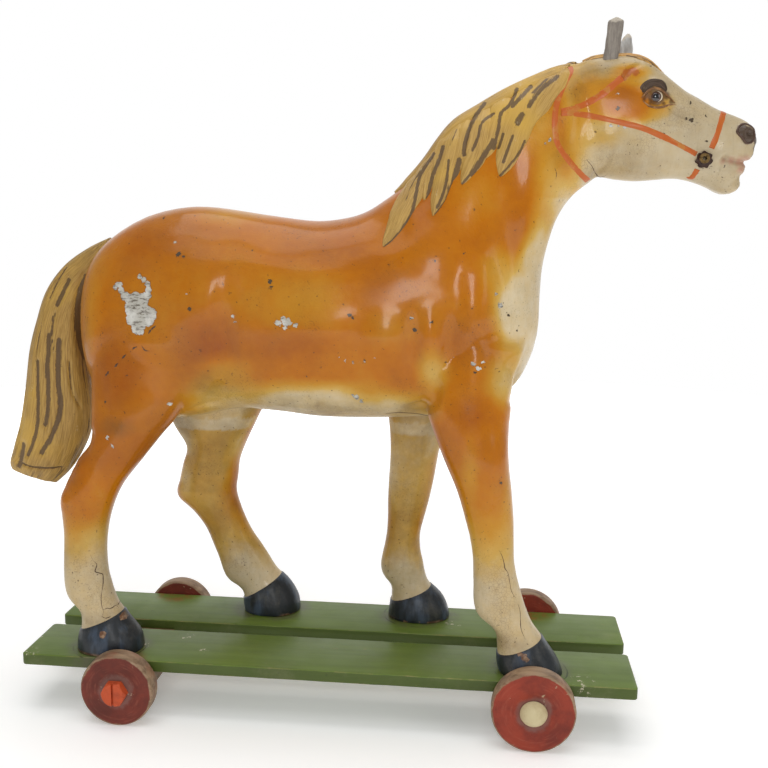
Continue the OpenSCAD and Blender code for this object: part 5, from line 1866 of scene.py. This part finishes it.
@dataclass
class Platform:
    """Two worn planks on cross battens."""

    rubs: tuple[Point, ...] = tuple(
        (x, side * 66, near) for side in (1, -1) for x, near in ((REAR_AXLE, 22), (FRONT_AXLE, 24))
    )
    # Where the hooves stand: each gets a painted shadow and a dark ring on its plank.
    hoof_rings_and_shadows: tuple[Point, ...] = ((136, -44, 27), (-186, -44, 28), (-79, 46, 29), (47, 48, 30))
    crumbs: tuple[Point, ...] = (
        (-248, -64, 14), (-246, -36, 8), (-135, -19, 9), (-112, -42, 5), (75, 30, 9), (172, -58, 12), (-160, -40, 7)
    )

    def build(self) -> None:
        """Builds both planks and finishes the battens and screws."""
        for side, word in SIDES:
            self.plank(side, word)
        for word, x, _ in AXLES:
            finish = WoodPaint(
                f"batten_{word}_wood", tint(150, 118, 82), tint(104, 78, 52), tint(170, 140, 104), (x, 0, 26),
                (15, 65.5, 11.5), 1.0, (120, 9, 120)
            )
            redress(f"batten_{word}", finish.make())
        steel = HardFinish("dull_steel", tint(128, 126, 122), tint(90, 70, 54), 0.45, 1.0, scale=220).make()
        for node in ("batten_screws", "leg_screws", "axle_screw_front_right", "axle_screw_front_left"):
            redress(node, steel)
        washer = HardFinish("dusty_washer", tint(120, 108, 100), tint(92, 66, 52), 0.6, 0.6, scale=260).make()
        for node in ("inner_washers", "outer_washers"):
            redress(node, washer)
        core = HardFinish("core_wood", tint(168, 132, 90), tint(128, 96, 62), 0.7, scale=60).make()
        for leg in ("fore_right", "hind_right", "hind_left", "fore_left"):
            redress(f"leg_core_{leg}", core)
        brass = HardFinish("old_brass", tint(112, 90, 56), tint(48, 36, 26), 0.5, 1.0, scale=400, share=0.85).make()
        for word in ("right", "left"):
            redress(f"eyelet_{word}", brass)

    def plank(self, side: int, word: str) -> None:
        """One plank with softened, slightly uneven edges.

        Args:
            side: the sign of its y.
            word: right or left.
        """
        long, wide, thick = PLANK
        bm = bmesh.new()
        bmesh.ops.create_cube(bm, size=1.0)
        bmesh.ops.scale(bm, vec=(long * MM, wide * MM, thick * MM), verts=bm.verts[:])
        upright = [e for e in bm.edges if abs((e.verts[0].co - e.verts[1].co).z) > 0.004]
        bmesh.ops.bevel(
            bm, geom=upright, offset=0.003, offset_type="OFFSET", affect="EDGES", segments=4, profile=0.5, material=-1
        )
        rims = [e for e in bm.edges if abs((e.verts[0].co - e.verts[1].co).z) < 0.001]
        bmesh.ops.bevel(
            bm, geom=rims, offset=0.0009, offset_type="OFFSET", affect="EDGES", segments=3, profile=0.5, material=-1
        )
        for k in range(1, 46):
            x = (k / 46 - 0.5) * long * MM
            geom = bm.verts[:] + bm.edges[:] + bm.faces[:]
            bmesh.ops.bisect_plane(bm, geom=geom, dist=1e-7, plane_co=(x, 0, 0), plane_no=(1, 0, 0))
        middle = Vector((PLANK_X + long / 2, side * PLANK_Y, DECK_Z - thick / 2))
        bmesh.ops.translate(bm, vec=middle * MM, verts=bm.verts[:])
        obj = to_object(bm, f"plank_board_{word}")
        co = corners(obj.data)
        mm = co / MM
        rng = np.random.default_rng(5 + side)
        phase = rng.uniform(0, 6.28, 5)
        uneven = 0.22 * np.sin(mm[:, 0] / 21 + phase[0]) + 0.16 * np.sin(
            mm[:, 0] / 8.7 + phase[1]
        ) + 0.1 * np.sin(mm[:, 0] / 4.1 + phase[2])
        out = np.clip((np.abs(mm[:, 1] - side * PLANK_Y) - 20) / 8, 0, 1) * np.sign(mm[:, 1] - side * PLANK_Y)
        co[:, 1] -= np.abs(uneven) * out * MM
        put_corners(obj.data, co)
        # The planks' sides are darkened as painted shade.
        finish = WoodPaint(
            f"plank_green_{word}", tint(104, 126, 50), tint(78, 98, 30), tint(178, 158, 112), tuple(middle),
            (long / 2, wide / 2, thick / 2), 0.62,
            rubs=tuple(p for p in self.rubs if p[1] * side > 0),
            hoof_rings_and_shadows=tuple(p for p in self.hoof_rings_and_shadows if p[1] * side > 0),
            crumbs=tuple(p for p in self.crumbs if p[1] * side > 0), shaded_sides=0.62,
        )
        dress(obj, finish.make(), (f"plank_{word}",))


@dataclass
class Wheel:
    """A turned wooden wheel spinning on its axle."""

    place: str
    x: float
    radius: float
    side: int
    dished: bool
    round_over: float = 2.2
    dish_r: float = 9.2
    dish_deep: float = 2.0

    def build(self) -> None:
        """Spins the wheel's profile about its axle."""
        r, t, e = self.radius, WHEEL_T, self.round_over
        prof = [(BORE_R, 0.0), (r - e, 0.0)]
        prof += [(r - e + e * math.sin(a), e - e * math.cos(a)) for a in np.linspace(0.2, math.pi / 2, 5)]
        prof += [(r - e + e * math.cos(a), t - e + e * math.sin(a)) for a in np.linspace(0, math.pi / 2, 6)]
        if self.dished:
            floor = t - self.dish_deep
            prof += [(self.dish_r + 0.4, t), (self.dish_r, t - 0.4), (self.dish_r, floor), (BORE_R, floor)]
        else:
            prof += [(BORE_R, t)]
        bm = bmesh.new()
        verts = [bm.verts.new((p * MM, 0, q * MM)) for p, q in prof]
        edges = [bm.edges.new((verts[i], verts[(i + 1) % len(verts)])) for i in range(len(verts))]
        bmesh.ops.spin(
            bm, geom=verts + edges, cent=(0, 0, 0), axis=(0, 0, 1), dvec=(0, 0, 0), angle=2 * math.pi, steps=112,
            use_merge=True, use_duplicate=False
        )
        bmesh.ops.remove_doubles(bm, verts=bm.verts[:], dist=1e-6)
        turn = Matrix.Rotation(-self.side * math.pi / 2, 4, "X")
        place = Matrix.Translation(Vector((self.x, self.side * WHEEL_IN, self.radius)) * MM)
        bmesh.ops.transform(bm, matrix=place @ turn, verts=bm.verts[:])
        obj = to_object(bm, f"turned_{self.place}")
        crisp = obj.modifiers.new("crisp", "EDGE_SPLIT")
        crisp.split_angle = math.radians(50)
        bake_modifiers(obj)
        rear = self.x < 0
        face, dark = (tint(122, 50, 36), tint(92, 40, 30)) if rear else (tint(148, 56, 36), tint(112, 42, 30))
        paint = WheelPaint(f"{self.place}_paint", self.x, self.radius, self.radius, face, dark)
        node = f"wheel_{self.place}"
        dress(obj, paint.make(), (node,), node)


@dataclass
class AxleEnds:
    """The painted hexagon heads and the domed caps on the axles."""

    def build(self) -> None:
        """Refinishes the heads and caps."""
        orange = HardFinish("orange_head", tint(190, 78, 38), tint(150, 62, 38), 0.5, coat=0.05, scale=160).make()
        cream = HardFinish(
            "aged_cap", tint(200, 186, 146), tint(172, 152, 112), 0.45, coat=0.05, scale=70, share=0.5
        ).make()
        for word in ("right", "left"):
            for node, material in ((f"axle_bolt_rear_{word}", orange), (f"axle_cap_{word}", cream)):
                redress(node, material)


@dataclass
class Studio:
    """White floor, soft lights and the camera."""

    eye: Point = (97.11, -726.18, 371.83)
    yaw: float = -6.048
    pitch: float = 9.555
    roll: float = -0.524
    lens: float = 45.542
    room: float = 0.36

    def build(self) -> None:
        """Sets the stage."""
        bm = bmesh.new()
        bmesh.ops.create_circle(bm, cap_ends=True, segments=96, radius=1.6)
        floor = to_object(bm, "studio_floor", fix=False)
        floor.data.materials.append(StudioWhite().make())
        self.lamp("top_light", (0.0, 0.10, 1.60), (0, 0, 0.30), 1.4, 1.0, 11)
        self.lamp("key_light", (0.15, -1.50, 0.66), (-0.02, 0, 0.27), 0.34, 0.44, 4.6)
        self.lamp("front_light", (-0.10, -0.75, 1.55), (0, 0, 0.30), 1.2, 0.5, 3.0)
        self.lamp("side_light", (1.40, -0.90, 0.80), (0.1, 0, 0.30), 0.6, 0.9, 3.0)
        bpy.context.scene.world = self.air()
        bpy.context.scene.view_settings.view_transform = "Standard"
        self.camera()

    def air(self) -> bpy.types.World:
        """White behind the horse, a dimmer room everywhere else."""
        world = bpy.data.worlds.new("studio_air")
        world.use_nodes = True
        tree = world.node_tree
        place = tree.nodes.new("ShaderNodeTexCoord")
        split = tree.nodes.new("ShaderNodeSeparateXYZ")
        ramp = tree.nodes.new("ShaderNodeMapRange")
        ramp.interpolation_type = "SMOOTHSTEP"
        ramp.inputs["From Min"].default_value = 0.55
        ramp.inputs["From Max"].default_value = 0.80
        ramp.inputs["To Min"].default_value = self.room
        ramp.inputs["To Max"].default_value = 1.0
        tree.links.new(place.outputs["Generated"], split.inputs[0])
        tree.links.new(split.outputs["Y"], ramp.inputs["Value"])
        tree.links.new(ramp.outputs[0], tree.nodes["Background"].inputs["Strength"])
        tree.nodes["Background"].inputs["Color"].default_value = (1.0, 1.0, 1.0, 1)
        return world

    def lamp(self, name: str, at: Point, aim: Point, wide: float, tall: float, power: float) -> None:
        """One soft box.

        Args:
            name: the lamp's name.
            at: its place in metres.
            aim: what it points at.
            wide: its width.
            tall: its height.
            power: watts.
        """
        data = bpy.data.lights.new(name, "AREA")
        data.shape = "RECTANGLE"
        data.size, data.size_y, data.energy = wide, tall, power
        lamp = bpy.data.objects.new(name, data)
        lamp.location = at
        lamp.rotation_euler = (Vector(aim) - Vector(at)).to_track_quat("-Z", "Y").to_euler()
        bpy.context.scene.collection.objects.link(lamp)

    def camera(self) -> None:
        """The camera, three quarters of a metre off the horse's right side."""
        yaw, pitch, roll = (math.radians(a) for a in (self.yaw, self.pitch, self.roll))
        ahead = Vector((math.sin(yaw) * math.cos(pitch), math.cos(yaw) * math.cos(pitch), -math.sin(pitch)))
        level = Vector((math.cos(yaw), -math.sin(yaw), 0))
        down = ahead.cross(level)
        right = level * math.cos(roll) + down * math.sin(roll)
        up = level * math.sin(roll) - down * math.cos(roll)
        data = bpy.data.cameras.new("studio_camera")
        data.lens = self.lens
        data.sensor_width = 36.0
        data.clip_end = 20.0
        obj = bpy.data.objects.new("studio_camera", data)
        turn = Matrix((right, up, -ahead)).transposed().to_4x4()
        obj.matrix_world = Matrix.Translation(Vector(self.eye) * MM) @ turn
        bpy.context.scene.collection.objects.link(obj)
        bpy.context.scene.camera = obj


def main() -> None:
    """Builds every piece in order and reports each one."""
    logging.basicConfig(level=logging.INFO, format="%(name)s: %(message)s")
    Studio().build()
    horse = Horse()
    skin = horse.build()
    paint = HorsePaint().make()
    body = horse.cut(skin, "horse_body", keep_head=False)
    head = horse.cut(skin, "horse_head", keep_head=True)
    bpy.data.objects.remove(skin)
    horse.press(head.data, horse.fine, horse.creases)
    for piece in (body, head):
        horse.paint(piece.data)
        dress(piece, paint, ("body_shell_right", "body_shell_left"))
    surface = Surface.of([body, head])
    trim = Trim(surface)
    trim.straps()
    trim.mane()
    trim.forelock()
    trim.cracks()
    trim.brows()
    trim.nostrils()
    Tail().build()
    fittings = HeadFittings(surface)
    fittings.eyes()
    fittings.ears()
    fittings.rosettes()
    Hooves().build()
    Platform().build()
    for place, x, radius in AXLES:
        for side, word in SIDES:
            Wheel(f"{place}_{word}", x, radius, side, place == "front").build()
    AxleEnds().build()


if __name__ == "__main__":
    main()
